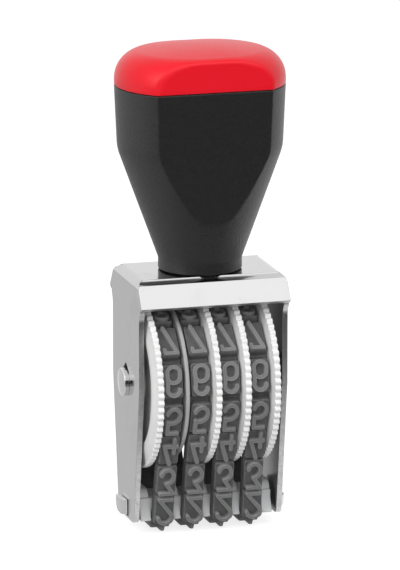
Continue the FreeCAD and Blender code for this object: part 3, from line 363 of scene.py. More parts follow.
def roundedOutline(corners, bevel, closed=True, steps=5, support=1.5, room=3.3):
    # each corner becomes a short curve, (1-t)^2 start + 2t(1-t) corner + t^2 end; bevel is the cut back along
    # both edges, one number or one per corner, and at most 1/room of an edge; a point at support times the cut
    # keeps the faces beside it flat
    corners = np.array(corners, float)
    before, after = np.roll(corners, 1, 0), np.roll(corners, -1, 0)
    toBefore, toAfter = before - corners, after - corners
    lengthBefore = np.linalg.norm(toBefore, axis=1, keepdims=True)
    lengthAfter = np.linalg.norm(toAfter, axis=1, keepdims=True)
    wanted = np.broadcast_to(np.array(bevel, float).reshape(-1, 1), (len(corners), 1))
    cut = np.minimum(wanted, np.minimum(lengthBefore, lengthAfter) / room)
    start, end = corners + toBefore / lengthBefore * cut, corners + toAfter / lengthAfter * cut
    t = np.linspace(0, 1, steps).reshape(1, -1, 1)
    curve = ((1 - t) ** 2 * start[:, None] + 2 * t * (1 - t) * corners[:, None] + t ** 2 * end[:, None])
    first = corners + toBefore / lengthBefore * cut * support
    last = corners + toAfter / lengthAfter * cut * support
    whole = np.concatenate([first[:, None], curve, last[:, None]], 1)
    if closed:
        return whole.reshape(-1, 2)
    middle = whole[1:-1].reshape(-1, 2)
    return np.concatenate([corners[:1], middle, corners[-1:]], 0)


def turnedSurface(outline, columns, teeth=None):
    # a profile of (x, radius) points carried round the axle; at the rim the radius drops by the tooth shape,
    # depth (2u - 1)^2 with u the place within one tooth, eased in between the root and the crest
    angle = np.arange(columns) * 2 * math.pi / columns
    along, radius = outline[:, :1], outline[:, 1:]
    if teeth:
        u = np.mod(angle * teeth["teeth"] / (2 * math.pi), 1)
        root = teeth["tip"] - teeth["toothDepth"] - teeth["rootEase"]
        share = np.clip((radius - root) / (teeth["tip"] - teeth["crestEase"] - root), 0, 1)
        radius = radius - teeth["toothDepth"] * (2 * u - 1) ** 2 * smoothStep(share)
    return np.stack([along + 0 * angle, -radius * np.cos(angle), axle["height"] + radius * np.sin(angle)], -1)


axle = {"height": 32.8, "radius": 2.25, "bore": 2.33}

wheels = {
    "teeth": 74, "samplesPerTooth": 8, "tip": 18.7, "toothDepth": 0.65, "rimWidth": 1.3, "flankWidth": 0.25,
    "flankRadius": 16.2, "pitch": 6.5, "lastRimFace": 12.75, "firstRimFace": -13.05, "gap": 0.2,
    "drumRadius": 13.6, "drumWall": 1.6, "hubRadius": 5.2, "webWidth": 1.5, "hubRecess": 0.6,
    "bevelRadius": 15.5, "bevelWidth": 0.5, "faceRadius": 14.3, "recessDepth": 1.25, "faceDish": 0.25,
    "corner": 0.16, "rimCorner": 0.55, "rootEase": 0.25, "crestEase": 0.12,
}


def numberWheel(number, v):
    # thumb wheel: the toothed rim on the right of the drum, or on the left and dished on the outer wheel
    valley = v["tip"] - v["toothDepth"]
    inside = v["drumRadius"] - v["drumWall"]
    if number == 1:
        face, left = v["firstRimFace"], v["firstRimFace"] - v["rimWidth"]
        flank, end = face + v["flankWidth"], face + v["pitch"] - v["rimWidth"] - v["gap"]
        bevel = left - v["bevelWidth"]
        hubEnd, web = end - v["hubRecess"], flank + v["faceDish"]
        seat, recess = left + v["faceDish"], bevel + v["recessDepth"]
        corners = [
            (seat, axle["bore"]), (seat, v["hubRadius"]), (recess, v["hubRadius"]), (recess, v["faceRadius"]),
            (bevel, v["faceRadius"]), (bevel, v["bevelRadius"]), (left, valley - v["flankWidth"]),
            (left, v["tip"]), (face, v["tip"]), (face, valley - v["flankWidth"]), (flank, v["flankRadius"]),
            (flank, v["drumRadius"]), (end, v["drumRadius"]), (end, inside), (web, inside),
            (web, v["hubRadius"]), (hubEnd, v["hubRadius"]), (hubEnd, axle["bore"]),
        ]
    else:
        face = v["lastRimFace"] - v["pitch"] * (4 - number)
        left = face - v["rimWidth"]
        flank, end = left - v["flankWidth"], face - v["pitch"] + v["gap"]
        hubEnd, web = end + v["hubRecess"], face - v["webWidth"] - v["flankWidth"]
        corners = [
            (face, axle["bore"]), (face, v["tip"]), (left, v["tip"]), (left, valley - v["flankWidth"]),
            (flank, v["flankRadius"]), (flank, v["drumRadius"]), (end, v["drumRadius"]), (end, inside),
            (web, inside), (web, v["hubRadius"]), (hubEnd, v["hubRadius"]), (hubEnd, axle["bore"]),
        ]
    bevels = [v["rimCorner"] if corner == (left, v["tip"]) else v["corner"] for corner in corners]
    points = turnedSurface(roundedOutline(corners, bevels), v["teeth"] * v["samplesPerTooth"], v)
    return surfacePiece("thumbWheel%d" % number, points, finishes["wheel"], "wheel_%d" % number,
                        ["number_wheel_%d" % number], sharpAngle=50)


for wheelNumber in (1, 2, 3, 4):
    numberWheel(wheelNumber, wheels)
print("thumb wheels built")

disc = {"left": -7.775, "width": 0.85, "radius": 16.8, "bore": 2.33, "corner": 0.22, "columns": 320}


def separatorDisc(v):
    # thin disc with a rounded rim between the first band and the second
    right = v["left"] + v["width"]
    corners = [(v["left"], v["bore"]), (v["left"], v["radius"]), (right, v["radius"]), (right, v["bore"])]
    points = turnedSurface(roundedOutline(corners, v["corner"]), v["columns"])
    return surfacePiece("separatorDisc", points, finishes["disc"], "stamp", ["separator_disc"])


separatorDisc(disc)

rivet = {
    "halfWidth": 16.5, "headRadius": 3.05, "headHeight": 1.4, "headRim": 1.0, "domeSteps": 14, "columns": 96,
    "corner": 0.5, "rimCorner": 0.1,
}


def axleRivet(v):
    # pin with a flat-domed head at each end: the dome is the arc over the head's rim
    rise = v["headHeight"] - v["headRim"]
    dome = (v["headRadius"] ** 2 + rise ** 2) / 2 / rise
    tip = v["halfWidth"] + v["headHeight"]
    r = np.linspace(0, v["headRadius"] - v["corner"], v["domeSteps"])
    arc = np.stack([tip - dome + np.sqrt(dome ** 2 - r ** 2), r], -1)
    shoulder = v["halfWidth"] + v["headRim"]
    corners = [tuple(arc[-1]), (shoulder, v["headRadius"]), (v["halfWidth"], v["headRadius"]),
               (v["halfWidth"], axle["radius"])]
    bevels = [v["rimCorner"], v["corner"], v["rimCorner"], v["rimCorner"]]
    rounded = roundedOutline(corners, bevels, closed=False)
    half = np.concatenate([arc[:-1], rounded], 0)
    outline = np.concatenate([half, half[::-1] * np.array([-1, 1])], 0)
    points = turnedSurface(outline, v["columns"])
    return surfacePiece("axleRivet", points, finishes["steel"], "stamp", ["axle_rivet"],
                        closeRows=False)


axleRivet(rivet)
print("disc and rivet built")

bands = {
    "beltWidth": 4.5, "beltThickness": 1.0, "sideGap": 0.2, "play": 0.2, "padCount": 15, "padHeight": 1.2,
    "padLength": 7.0, "padWidth": 4.2, "padDraft": 0.15, "padCorner": 0.45, "footFlat": 6.4, "footTurn": 1.0,
    "combPitch": 6.6, "digitHeight": 7.0, "digitWidth": 3.5, "stroke": 0.8, "relief": 0.9,
    "strokeSlope": 0.14, "strokeHollow": 0.05, "hollowShare": 0.7,
    "padBrow": 0.02, "padFoot": 0.12, "edgeRound": 0.08,
    # grid: rows along a pad, columns across its flat, and the columns down its side
    "rowsPerPad": 84, "columns": 48, "flatInset": 0.04, "sideSteps": (0, 0.05, 0.105), "lastStep": 0.02,
    # where the painted highlight along the rims of strokes and pads lies, and how wide it is
    "rimShare": 0.95, "rimWidth": 0.13, "padRimInset": 0.05, "padRimWidth": 0.1, "padRimShare": 0.6,
    "markFrom": 0.2,
}

# strokes of each character as shares of the stroke box, x to the right and y up
characterShares = {
    "0": [("arc", (-0.5, 0.2), (0, 0.5), (0.5, 0.2)), ("line", (0.5, 0.2), (0.5, -0.2)),
          ("arc", (0.5, -0.2), (0, -0.5), (-0.5, -0.2)), ("line", (-0.5, -0.2), (-0.5, 0.2))],
    "1": [("line", (0.2, -0.5), (0.2, 0.5)), ("line", (0.2, 0.5), (-0.3, 0.26))],
    "2": [("arc", (-0.5, 0.27), (0.08, 0.5), (0.47, 0.1)), ("line", (0.47, 0.1), (-0.5, -0.5)),
          ("line", (-0.5, -0.5), (0.5, -0.5))],
    "3": [("line", (-0.5, 0.5), (0.5, 0.5)), ("line", (0.5, 0.5), (-0.05, 0.1)),
          ("arc", (-0.05, 0.1), (0.5, -0.2), (0, -0.5)), ("arc", (0, -0.5), (-0.3, -0.44), (-0.5, -0.27))],
    "4": [("line", (0.0, 0.5), (-0.5, -0.22)), ("line", (-0.5, -0.22), (0.5, -0.22)),
          ("line", (0.28, 0.05), (0.28, -0.5))],
    "5": [("line", (0.4, 0.5), (-0.42, 0.5)), ("line", (-0.42, 0.5), (-0.42, 0.05)),
          ("arc", (-0.42, 0.05), (0.5, -0.12), (0.05, -0.5)),
          ("arc", (0.05, -0.5), (-0.28, -0.45), (-0.5, -0.3))],
    "6": [("arc", (-0.5, -0.2), (0, 0.06), (0.5, -0.2)), ("arc", (0.5, -0.2), (0, -0.5), (-0.5, -0.2)),
          ("line", (-0.5, -0.2), (-0.5, 0.2)), ("arc", (-0.5, 0.2), (0, 0.5), (0.46, 0.3))],
    "7": [("line", (-0.5, 0.36), (-0.5, 0.5)), ("line", (-0.5, 0.5), (0.5, 0.5)),
          ("line", (0.5, 0.5), (-0.3, -0.5))],
    "8": [("arc", (-0.42, 0.27), (0, 0.5), (0.42, 0.27)), ("arc", (0.42, 0.27), (0, 0.04), (-0.42, 0.27)),
          ("arc", (-0.5, -0.23), (0, 0.04), (0.5, -0.23)), ("arc", (0.5, -0.23), (0, -0.5), (-0.5, -0.23))],
    "9": [("arc", (0.5, 0.2), (0, -0.06), (-0.5, 0.2)), ("arc", (-0.5, 0.2), (0, 0.5), (0.5, 0.2)),
          ("line", (0.5, 0.2), (0.5, -0.2)), ("arc", (0.5, -0.2), (0, -0.5), (-0.46, -0.3))],
    "dash": [("line", (-0.35, 0), (0.35, 0))],
    "slash": [("line", (-0.4, -0.45), (0.4, 0.45))],
    "stop": [("line", (0, -0.44), (0, -0.4))],
    "plus": [("line", (-0.4, 0), (0.4, 0)), ("line", (0, -0.22), (0, 0.22))],
    "blank": [],
}
bandOrder = ("1", "2", "3", "4", "5", "6", "7", "8", "9", "dash", "slash", "stop", "plus", "blank", "0")


def softMin(first, second, reach):
    # the smaller of two values, with the corner between them rounded over the reach
    share = np.clip(0.5 + 0.5 * (second - first) / reach, 0, 1)
    return second * (1 - share) + first * share - reach * share * (1 - share)


def lineDistance(across, along, start, end):
    # distance from each point to the nearest point of a straight stroke
    run = end - start
    t = np.clip(((across - start[0]) * run[0] + (along - start[1]) * run[1]) / (run @ run), 0, 1)
    return np.hypot(across - start[0] - t * run[0], along - start[1] - t * run[1])


def arcDistance(across, along, start, middle, end):
    # distance to the arc through three points: the gap to its circle where the direction from the centre falls
    # within the arc, and to the nearer end elsewhere
    a, b = middle - start, end - start
    cross = 2 * (a[0] * b[1] - a[1] * b[0])
    centre = start + np.array([b[1] * (a @ a) - a[1] * (b @ b), a[0] * (b @ b) - b[0] * (a @ a)]) / cross
    radius = np.linalg.norm(start - centre)
    chordMiddle = (start + end) / 2
    bulge = middle - chordMiddle
    normal = np.array([end[1] - start[1], start[0] - end[0]])
    normal = normal * np.sign(normal @ bulge)
    # the arc is the part of the circle on the bulge's side of its chord
    reach = np.hypot(across - centre[0], along - centre[1]) + tiny
    footX = centre[0] + (across - centre[0]) / reach * radius
    footY = centre[1] + (along - centre[1]) / reach * radius
    within = ((footX - chordMiddle[0]) * normal[0] + (footY - chordMiddle[1]) * normal[1]) >= 0
    toStart = np.hypot(across - start[0], along - start[1])
    toEnd = np.hypot(across - end[0], along - end[1])
    return np.where(within, np.abs(reach - radius), np.minimum(toStart, toEnd))


def strokeDistance(name, across, along, v):
    # distance to the nearest stroke of a character, head down as on a stamp
    size = np.array([v["digitWidth"] - v["stroke"], -(v["digitHeight"] - v["stroke"])])
    nearest = np.full(np.broadcast(across, along).shape, farAway)
    for kind, *shares in characterShares[name]:
        places = [np.array(share) * size for share in shares]
        measure = lineDistance if kind == "line" else arcDistance
        nearest = np.minimum(nearest, measure(across, along, *places))
    return nearest


def bandPath(v):
    # the belt's middle line: flat foot, small corner, leaning run, most of a turn round the drum, and back
    half = v["beltThickness"] / 2
    drum = wheels["drumRadius"] + v["play"] + half
    turn = v["footTurn"] + half
    low = v["relief"] + v["padHeight"] + half
    flat = v["footFlat"] / 2
    rise = axle["height"] - low - turn
    span = math.hypot(rise, flat)
    lean = math.asin((drum - turn) / span) - math.atan2(flat, rise)
    run = math.sqrt(span ** 2 - (drum - turn) ** 2)
    lengths = [flat, (math.pi / 2 - lean) * turn, run, (math.pi + 2 * lean) * drum]
    return {"drum": drum, "turn": turn, "low": low, "flat": flat, "lean": lean,
            "ends": np.cumsum(lengths), "total": 2 * sum(lengths[:3]) + lengths[3]}


def pathPlaces(path, along):
    # place and outward normal in YZ at each length along the middle line; the second half mirrors the first
    along = np.mod(along, path["total"])
    mirrored = along > path["total"] / 2
    s = np.where(mirrored, path["total"] - along, along)
    flatEnd, cornerEnd, runEnd = path["ends"][:3]
    lean = path["lean"]
    angle = np.select([s <= flatEnd, s <= cornerEnd, s <= runEnd],
                      [0 * s, (s - flatEnd) / path["turn"], 0 * s + math.pi / 2 - lean],
                      math.pi / 2 - lean + (s - runEnd) / path["drum"])
    ny, nz = -np.sin(angle), -np.cos(angle)
    turnLow = path["low"] + path["turn"]
    beyond = np.clip(s - cornerEnd, 0, runEnd - cornerEnd)
    y = -np.minimum(s, path["flat"]) + path["turn"] * ny - beyond * math.sin(lean)
    z = turnLow + path["turn"] * nz + beyond * math.cos(lean)
    crown = s > runEnd
    y = np.where(crown, path["drum"] * ny, y)
    z = np.where(crown, axle["height"] + path["drum"] * nz, z)
    side = np.where(mirrored, -1, 1)
    return y * side, z, ny * side, nz


def bell(offset, width):
    # exp(-(offset / width)^2)
    return np.exp(-(offset / width) ** 2)


def seenFromPad(path, s, v):
    # each row from the middle of its own pad: the pad's number, the row's way outward and onward from there,
    # and the cosine and sine of the belt's turn against the pad
    pitch = path["total"] / v["padCount"]
    pad = np.round(s / pitch).astype(int) % v["padCount"]
    y, z, ny, nz = pathPlaces(path, s)
    py, pz, pny, pnz = (part[pad] for part in pathPlaces(path, np.arange(v["padCount"]) * pitch))
    outward = (y - py) * pny + (z - pz) * pnz
    onward = (y - py) * pnz - (z - pz) * pny
    seen = outward, onward, ny * pny + nz * pnz, ny * pnz - nz * pny
    return pad, *(part[:, None] for part in seen)


def bandRelief(path, s, across, v):
    # height of the outer skin over the middle line, and where it is a raised stroke or a rim with a painted
    # highlight:
    # pads with drafted sides stand on the belt, and a stroke's height falls off with the distance to its
    # middle
    pad, outward, onward, turnCos, turnSin = seenFromPad(path, s, v)
    half, stroke = v["beltThickness"] / 2, v["stroke"] / 2
    padTop = half + v["padHeight"]
    along = onward + (padTop - outward) / turnCos * turnSin
    alongStroke = onward + (padTop + v["relief"] - outward) / turnCos * turnSin
    draft = v["padDraft"] / padTop
    past = np.abs(along) - v["padLength"] / 2
    past = np.where(past > 0, past * draft / (draft + np.abs(turnSin / turnCos)), past)
    cornerX = np.abs(across) - v["padWidth"] / 2 + v["padCorner"]
    cornerY = past + v["padCorner"]
    outside = np.hypot(np.maximum(cornerX, 0), np.maximum(cornerY, 0)) - v["padCorner"]
    inside = np.minimum(np.maximum(cornerX, cornerY), 0)
    border = outside + np.where(outside <= -v["padCorner"] + tiny, inside, 0)
    falling = (border + np.sqrt(border ** 2 + v["padBrow"] ** 2)) / 2
    distance = np.full(border.shape, farAway)
    for padNumber in range(v["padCount"]):
        mine = pad == padNumber
        distance[mine] = strokeDistance(bandOrder[padNumber], across + 0 * alongStroke[mine],
                                        alongStroke[mine] + 0 * across, v)
    wall = np.clip((stroke + v["strokeSlope"] - distance) / v["strokeSlope"], 0, 1)
    hollow = v["strokeHollow"] * np.clip(1 - distance / (stroke * v["hollowShare"]), 0, 1)
    height = padTop + smoothStep(wall) * (v["relief"] - hollow) - falling / draft
    height = (height - outward) / turnCos
    height = np.maximum(-softMin(-height, 0 * height - half, v["padFoot"]), half)
    standing = height > half + v["markFrom"]
    # the rims of strokes and pads: where the painted highlight lies, along the stroke edges and just inside
    # the pad edges
    rim = np.maximum(bell(distance - stroke * v["rimShare"], v["rimWidth"]),
                     bell(border + v["padRimInset"], v["padRimWidth"]) * v["padRimShare"])
    return height, {"relief": wall * standing, "rim": rim * standing}


def numberBand(number, v):
    # one closed belt: relief outside, plain sides and inside; it moves sideways from its wheel to its place in
    # the comb with the square of the way down
    path = bandPath(v)
    half, wide, top = v["beltThickness"] / 2, v["beltWidth"] / 2, v["padWidth"] / 2
    gap = wide + v["sideGap"] + wheels["flankWidth"]
    if number == 1:
        upper = wheels["firstRimFace"] + gap
    else:
        upper = wheels["lastRimFace"] - wheels["pitch"] * (4 - number) - wheels["rimWidth"] - gap
    lower = v["combPitch"] * (number - 2.5)
    rows = v["padCount"] * v["rowsPerPad"]
    pitch = path["total"] / v["padCount"]
    s = (np.arange(rows) + 0.5) / v["rowsPerPad"] * pitch - pitch / 2
    flat = np.linspace(-top + v["flatInset"], top - v["flatInset"], v["columns"])
    edge = np.append(top + np.array(v["sideSteps"]), [wide - v["lastStep"], wide])
    across = np.concatenate([-edge[::-1], flat, edge])
    height, marks = bandRelief(path, s, across, v)
    sides = np.array([half - v["edgeRound"], 0, v["edgeRound"] - half])
    under = np.array([wide - v["edgeRound"], 0, v["edgeRound"] - wide])
    loopAcross = np.concatenate([across[:-1], np.full(3, wide), under, np.full(3, -wide)])
    plain = np.concatenate([sides, np.full(3, -half), sides[::-1]])
    heights = np.concatenate([height[:, :-1], np.broadcast_to(plain, (rows, len(plain)))], 1)
    heights[:, 0] = half
    quiet = np.zeros((rows, len(plain)))
    marks = {key: np.concatenate([mark[:, :-1], quiet], 1) for key, mark in marks.items()}
    y, z, ny, nz = (part[:, None] for part in pathPlaces(path, s))
    topZ = axle["height"] - path["drum"] * math.sin(path["lean"])
    bottomZ = path["low"] + path["turn"] * (1 - math.sin(path["lean"]))
    slant = upper + (lower - upper) * np.clip((topZ - z) / (topZ - bottomZ), 0, 1) ** 2
    points = np.stack([loopAcross + slant, y + heights * ny, z + heights * nz], -1)
    return surfacePiece("numberBand%d" % number, points, finishes["band"], "stamp",
                        ["number_band_%d" % number], sharpAngle=60, marks=marks)


for bandNumber in (1, 2, 3, 4):
    numberBand(bandNumber, bands)
print("number bands built")

grip = {
    "seat": 56.8, "neckFoot": 57.05, "neckTop": 59.4, "seam": 97.1, "kink": 83.4, "neckRadius": 8.85,
    "neckFlat": 0.15, "sideRadius": 15.7, "sideDraft": 0.6, "halfFlat": 2.7, "facet": 12.2, "facetDraft": 0.9,
    "facetFoot": 69.3, "spigotRadius": 7.5, "wall": 2.4, "cavityFloor": 70.0, "floorRadius": 7.4,
    "screwHole": 2.15, "screwTop": 68.05, "insertRadius": 3.5, "insertFoot": 58.8, "insertTop": 66.8,
    "edge": 0.25, "kinkSoftness": 0.35, "flatSoftness": 0.15, "facetSoftness": 0.22, "crisp": 1e-4,
    "cavityLip": 0.2, "noFacet": 5.0, "splitRange": (0.3, 1.42), "arcSteps": 26, "facetSteps": 22,
    "edgeSteps": 6, "collarRows": (57.55, 59.1, 59.32),
    # rows of the outer skin, from, to and how many: they crowd at the kink
    "skinRows": [(59.52, 66.3, 22), (66.7, 80.4, 46), (80.7, 86.1, 22), (86.6, 96.7, 20)],
}


def ovalReach(angle, radius, halfFlat):
    # from the axis to a flat-sided oval: the straight side where the ray meets it, else the half circle
    c, s = np.abs(np.cos(angle)), np.abs(np.sin(angle))
    side = radius / np.maximum(s, tiny)
    end = halfFlat * c + np.sqrt(np.maximum(radius ** 2 - (halfFlat * s) ** 2, 0))
    return np.where(side * c <= halfFlat, side, end)


def sectionAngles(split, v):
    # columns of each quarter crowd towards the split, where the round side meets the flat facet
    a = 1 - (1 - np.linspace(0, 1, v["arcSteps"])) ** 2
    b = np.linspace(0, 1, v["facetSteps"])[1:] ** 2
    quarter = np.concatenate([split * a, split + (math.pi / 2 - split) * b], -1)
    second = math.pi - quarter[:, ::-1][:, 1:]
    half = np.concatenate([quarter, second], -1)
    return np.concatenate([half, half[:, 1:-1] + math.pi], -1)


def facetSplit(radius, halfFlat, facet):
    # direction in which the flat facet meets the oval, held back a little where there is no facet
    x = halfFlat + np.sqrt(np.maximum(radius ** 2 - facet ** 2, 0))
    return np.clip(np.arctan2(facet, x), *grip["splitRange"])


def ovalSurface(height, radius, halfFlat, facet, softness, v):
    # one oval per row, cut by the facet: the lower of the oval's reach and facet / sin(angle)
    split = facetSplit(radius, halfFlat, facet)[:, None]
    angle = sectionAngles(split, v)
    reach = ovalReach(angle, radius[:, None], halfFlat[:, None])
    flat = facet[:, None] / np.maximum(np.abs(np.sin(angle)), tiny)
    reach = np.where(radius[:, None] > 0, softMin(reach, flat, softness[:, None]), 0)
    return np.stack([reach * np.cos(angle), reach * np.sin(angle), height[:, None] + 0 * angle], -1)


def gripBody(v):
    # moulded grip: half-width against height is the lower of the cone's line and the upper band's line, with
    # the kink rounded; flat facets lean in towards the foot; hollow above, bored below
    z = np.concatenate([np.linspace(*stretch) for stretch in v["skinRows"]])
    kinkRadius = v["sideRadius"] - v["sideDraft"]
    cone = (z - v["neckTop"]) / (v["kink"] - v["neckTop"])
    upper = (z - v["kink"]) / (v["seam"] - v["kink"])
    radius = softMin(v["neckRadius"] + (kinkRadius - v["neckRadius"]) * cone,
                     kinkRadius + v["sideDraft"] * upper, v["kinkSoftness"])
    halfFlat = softMin(v["neckFlat"] + (v["halfFlat"] - v["neckFlat"]) * cone, v["halfFlat"] + 0 * z,
                       v["flatSoftness"])
    t = np.linspace(0, math.pi / 2, v["edgeSteps"])
    neck = v["neckRadius"]
    inner = [(0, v["screwTop"]), (v["screwHole"], v["screwTop"]), (v["screwHole"], v["insertTop"]),
             (v["insertRadius"], v["insertTop"]), (v["insertRadius"], v["insertFoot"]),
             (v["screwHole"], v["insertFoot"]), (v["screwHole"], v["seat"]), (v["spigotRadius"], v["seat"]),
             (v["spigotRadius"], v["neckFoot"]), (neck - v["edge"] * 2, v["neckFoot"])]
    foot = np.stack([neck - v["edge"] * (1 - np.sin(t)), v["neckFoot"] + v["edge"] * (1 - np.cos(t))], -1)
    collar = [(neck, height) for height in v["collarRows"]]
    start = np.concatenate([inner, foot, collar], 0)
    startFlat = np.where(start[:, 0] > v["spigotRadius"], v["neckFlat"], 0)
    lip = np.stack([v["sideRadius"] - v["edge"] * (1 - np.cos(t)),
                    v["seam"] - v["edge"] * (1 - np.sin(t))], -1)
    room = v["facet"] - v["wall"]
    spread = v["sideRadius"] + v["halfFlat"] - v["wall"] - room
    cavity = np.array([(room, v["seam"]), (room, v["seam"] - v["cavityLip"]), (room, v["kink"]),
                       (v["floorRadius"], v["cavityFloor"]), (0, v["cavityFloor"])])
    cavityFlat = np.array([spread, spread, spread, v["halfFlat"] / 4, 0])
    rows = np.concatenate([start, np.stack([radius, z], -1), lip, cavity], 0)
    flats = np.concatenate([startFlat, halfFlat, np.full(len(lip), v["halfFlat"]), cavityFlat])
    lean = v["facetDraft"] / (v["seam"] - v["facetFoot"])
    facet = v["facet"] - (v["seam"] - rows[:, 1]) * lean
    # the facet steps back with the lip, so that its top edge is rounded too, and the cavity has none
    facet[len(start) + len(z):-len(cavity)] -= v["sideRadius"] - lip[:, 0]
    facet[-len(cavity):] = room + v["noFacet"]
    softness = np.full(len(rows), v["facetSoftness"])
    softness[:len(start)] = softness[-len(cavity):] = v["crisp"]
    points = ovalSurface(rows[:, 1], rows[:, 0], flats, facet, softness, v)
    return surfacePiece("gripBody", points, finishes["grip"], "stamp", ["handle_body"],
                        closeRows=False, sharpAngle=40)


gripBody(grip)

cap = {
    "seam": 97.1, "top": 105.5, "round": 6.2, "wallHeight": 1.3, "crown": 0.93, "edge": 0.22,
    "domeEnd": 84.0, "domeSteps": 44, "plateauSteps": 20, "softLow": 0.25, "softHigh": 1.05, "softRise": 2.2,
    "skirt": 4.0, "play": 0.15, "arcSteps": 30, "facetSteps": 26, "seamGap": 0.1,
}


def gripCap(v):
    # moulded cap: the grip's oval goes up a short wall and shrinks on a quarter circle to a crowned top
    t = np.linspace(0, math.pi / 2, grip["edgeSteps"])
    low = v["seam"] + v["seamGap"]
    wall = np.stack([grip["sideRadius"] - v["edge"] * (1 - np.sin(t)), low + v["edge"] * (1 - np.cos(t))], -1)
    bend = np.radians(np.linspace(0, v["domeEnd"], v["domeSteps"]))
    dome = np.stack([grip["sideRadius"] - v["round"] * (1 - np.cos(bend)),
                     v["seam"] + v["wallHeight"] + v["round"] * np.sin(bend)], -1)
    share = 1 - np.linspace(0, 1, v["plateauSteps"] + 1)[1:]
    plateauFoot = v["top"] - v["crown"]
    plateau = np.stack([dome[-1, 0] * share, plateauFoot + v["crown"] * (1 - share ** 2)], -1)
    room = grip["facet"] - grip["wall"] - v["play"]
    reach = grip["sideRadius"] + grip["halfFlat"] - grip["wall"] - v["play"]
    spread = reach - room
    thin = grip["wall"] / 2
    skirtFoot, ceiling = v["seam"] - v["skirt"], v["top"] - v["round"]
    inner = np.array([(0, ceiling), (room - thin, ceiling), (room - thin, skirtFoot), (room, skirtFoot),
                      (room, low)])
    innerFlat = np.array([0, spread, spread, spread, spread])
    rows = np.concatenate([inner, wall, dome, plateau], 0)
    flats = np.concatenate([innerFlat, np.full(len(wall) + len(dome), grip["halfFlat"]),
                            grip["halfFlat"] * share])
    z = rows[:, 1]
    lean = grip["facetDraft"] / (grip["seam"] - grip["facetFoot"])
    facet = grip["facet"] + (z - v["seam"]) * lean
    facet[len(inner):len(inner) + len(wall)] -= grip["sideRadius"] - wall[:, 0]
    facet[:len(inner)] = room + grip["noFacet"]
    rise = smoothStep(np.clip((z - low) / v["softRise"], 0, 1))
    softness = v["softLow"] + (v["softHigh"] - v["softLow"]) * rise
    softness[:len(inner)] = grip["crisp"]
    points = ovalSurface(z, rows[:, 0], flats, facet, softness, v)
    return surfacePiece("gripCap", points, finishes["cap"], "stamp", ["handle_cap"], closeRows=False,
                        sharpAngle=50)


gripCap(cap)
print("grip and cap built")


# Sheet, bridge and comb keep the shape that they have and get broken edges

def runsBeside(edge, weights):
    # true where another rounded edge leaves the same corner in nearly the same direction, which the cosine of
    # the angle between the two tells
    def leaving(other, corner):
        return (other.other_vert(corner).co - corner.co).normalized()
    return any(leaving(edge, corner).dot(leaving(other, corner)) > cleaning["besideCosine"]
               for corner in edge.verts for other in corner.link_edges
               if other is not edge and other[weights] > 0)


def carriedPiece(name, node, materials, v, chooseMaterial=None):
    # a merged copy of a node: flat faces are joined, edges sharper than the angle are rounded, and the large
    # faces set the shading beside the rounding
    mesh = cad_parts[node].data.copy()
    mesh.name = name
    mesh.materials.clear()
    for material in materials:
        mesh.materials.append(material)
    work = bmesh.new()
    work.from_mesh(mesh)
    bmesh.ops.remove_doubles(work, verts=work.verts, dist=cleaning["sameCorner"])
    bmesh.ops.dissolve_limit(work, angle_limit=math.radians(cleaning["flatDegrees"]), verts=work.verts,
                             edges=work.edges)
    weights = work.edges.layers.float.new("bevel_weight_edge")
    for edge in work.edges:
        if edge.is_manifold and edge.calc_face_angle(0) > math.radians(v["angle"]):
            edge[weights] = 1.0
    crowded = [edge for edge in work.edges if edge[weights] > 0 and runsBeside(edge, weights)]
    for edge in crowded:
        edge[weights] = 0.0
    for face in work.faces:
        face.smooth = True
        face.material_index = chooseMaterial(face) if chooseMaterial else 0
    work.to_mesh(mesh)
    work.free()
    piece = bpy.data.objects.new(name, mesh)
    bpy.context.scene.collection.objects.link(piece)
    bevel = piece.modifiers.new("brokenEdges", "BEVEL")
    bevel.limit_method = "WEIGHT"
    bevel.width = v["brokenEdge"] * mm
    bevel.segments = 3
    bevel.use_clamp_overlap = False
    shading = piece.modifiers.new("flatFaces", "WEIGHTED_NORMAL")
    shading.mode = "FACE_AREA"
    shading.weight = 100
    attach(piece, "stamp")
    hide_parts(node)
    return piece


sheet = {"halfWidth": 16.5, "gauge": 1.2, "top": 56.8, "bend": 2.0, "hoodDepth": 26.0, "brokenEdge": 0.11,
         "angle": 28, "slack": 0.05}
bridge = {"brokenEdge": 0.12, "angle": 40}
comb = {"brokenEdge": 0.2, "angle": 40}


def sheetFinish(face):
    # plated outside 0, sheared thickness of the side plates and of the hood's lip 1, inside 2 in painted shade
    n, c = face.normal, face.calc_center_median() / mm
    onPlate = abs(c.x) > sheet["halfWidth"] - sheet["gauge"] - sheet["slack"]
    lip = n.z < -0.5 and n.y * c.y > 0 and abs(c.y) > sheet["hoodDepth"] / 2 - sheet["gauge"]
    if (onPlate and abs(n.x) < 0.5 and c.z < sheet["top"] - sheet["bend"] - sheet["slack"]) or lip:
        return 1
    # inner faces and undersides take the darkened finish, painted shade
    return 2 if n.z < -0.3 or n.x * c.x < -0.5 else 0


carriedPiece("sheetFrame", "frame_shell", [finishes["sheet"], finishes["edge"], finishes["inside"]],
             sheet, sheetFinish)
carriedPiece("printBridge", "print_bridge", [finishes["strip"]], bridge)
carriedPiece("bridgeComb", "bridge_comb", [finishes["comb"]], comb)

for node, finishName in {"handle_insert": "brass", "handle_screw": "steel", "lock_washer": "steel",
                         "friction_washer_1": "washer", "friction_washer_2": "washer",
                         "friction_washer_3": "washer", "friction_washer_4": "washer",
                         "end_spacer_left": "washer", "end_spacer_right": "washer"}.items():
    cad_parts[node].data.materials.clear()
    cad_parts[node].data.materials.append(finishes[finishName])
print("sheet, bridge and comb dressed")


# Studio

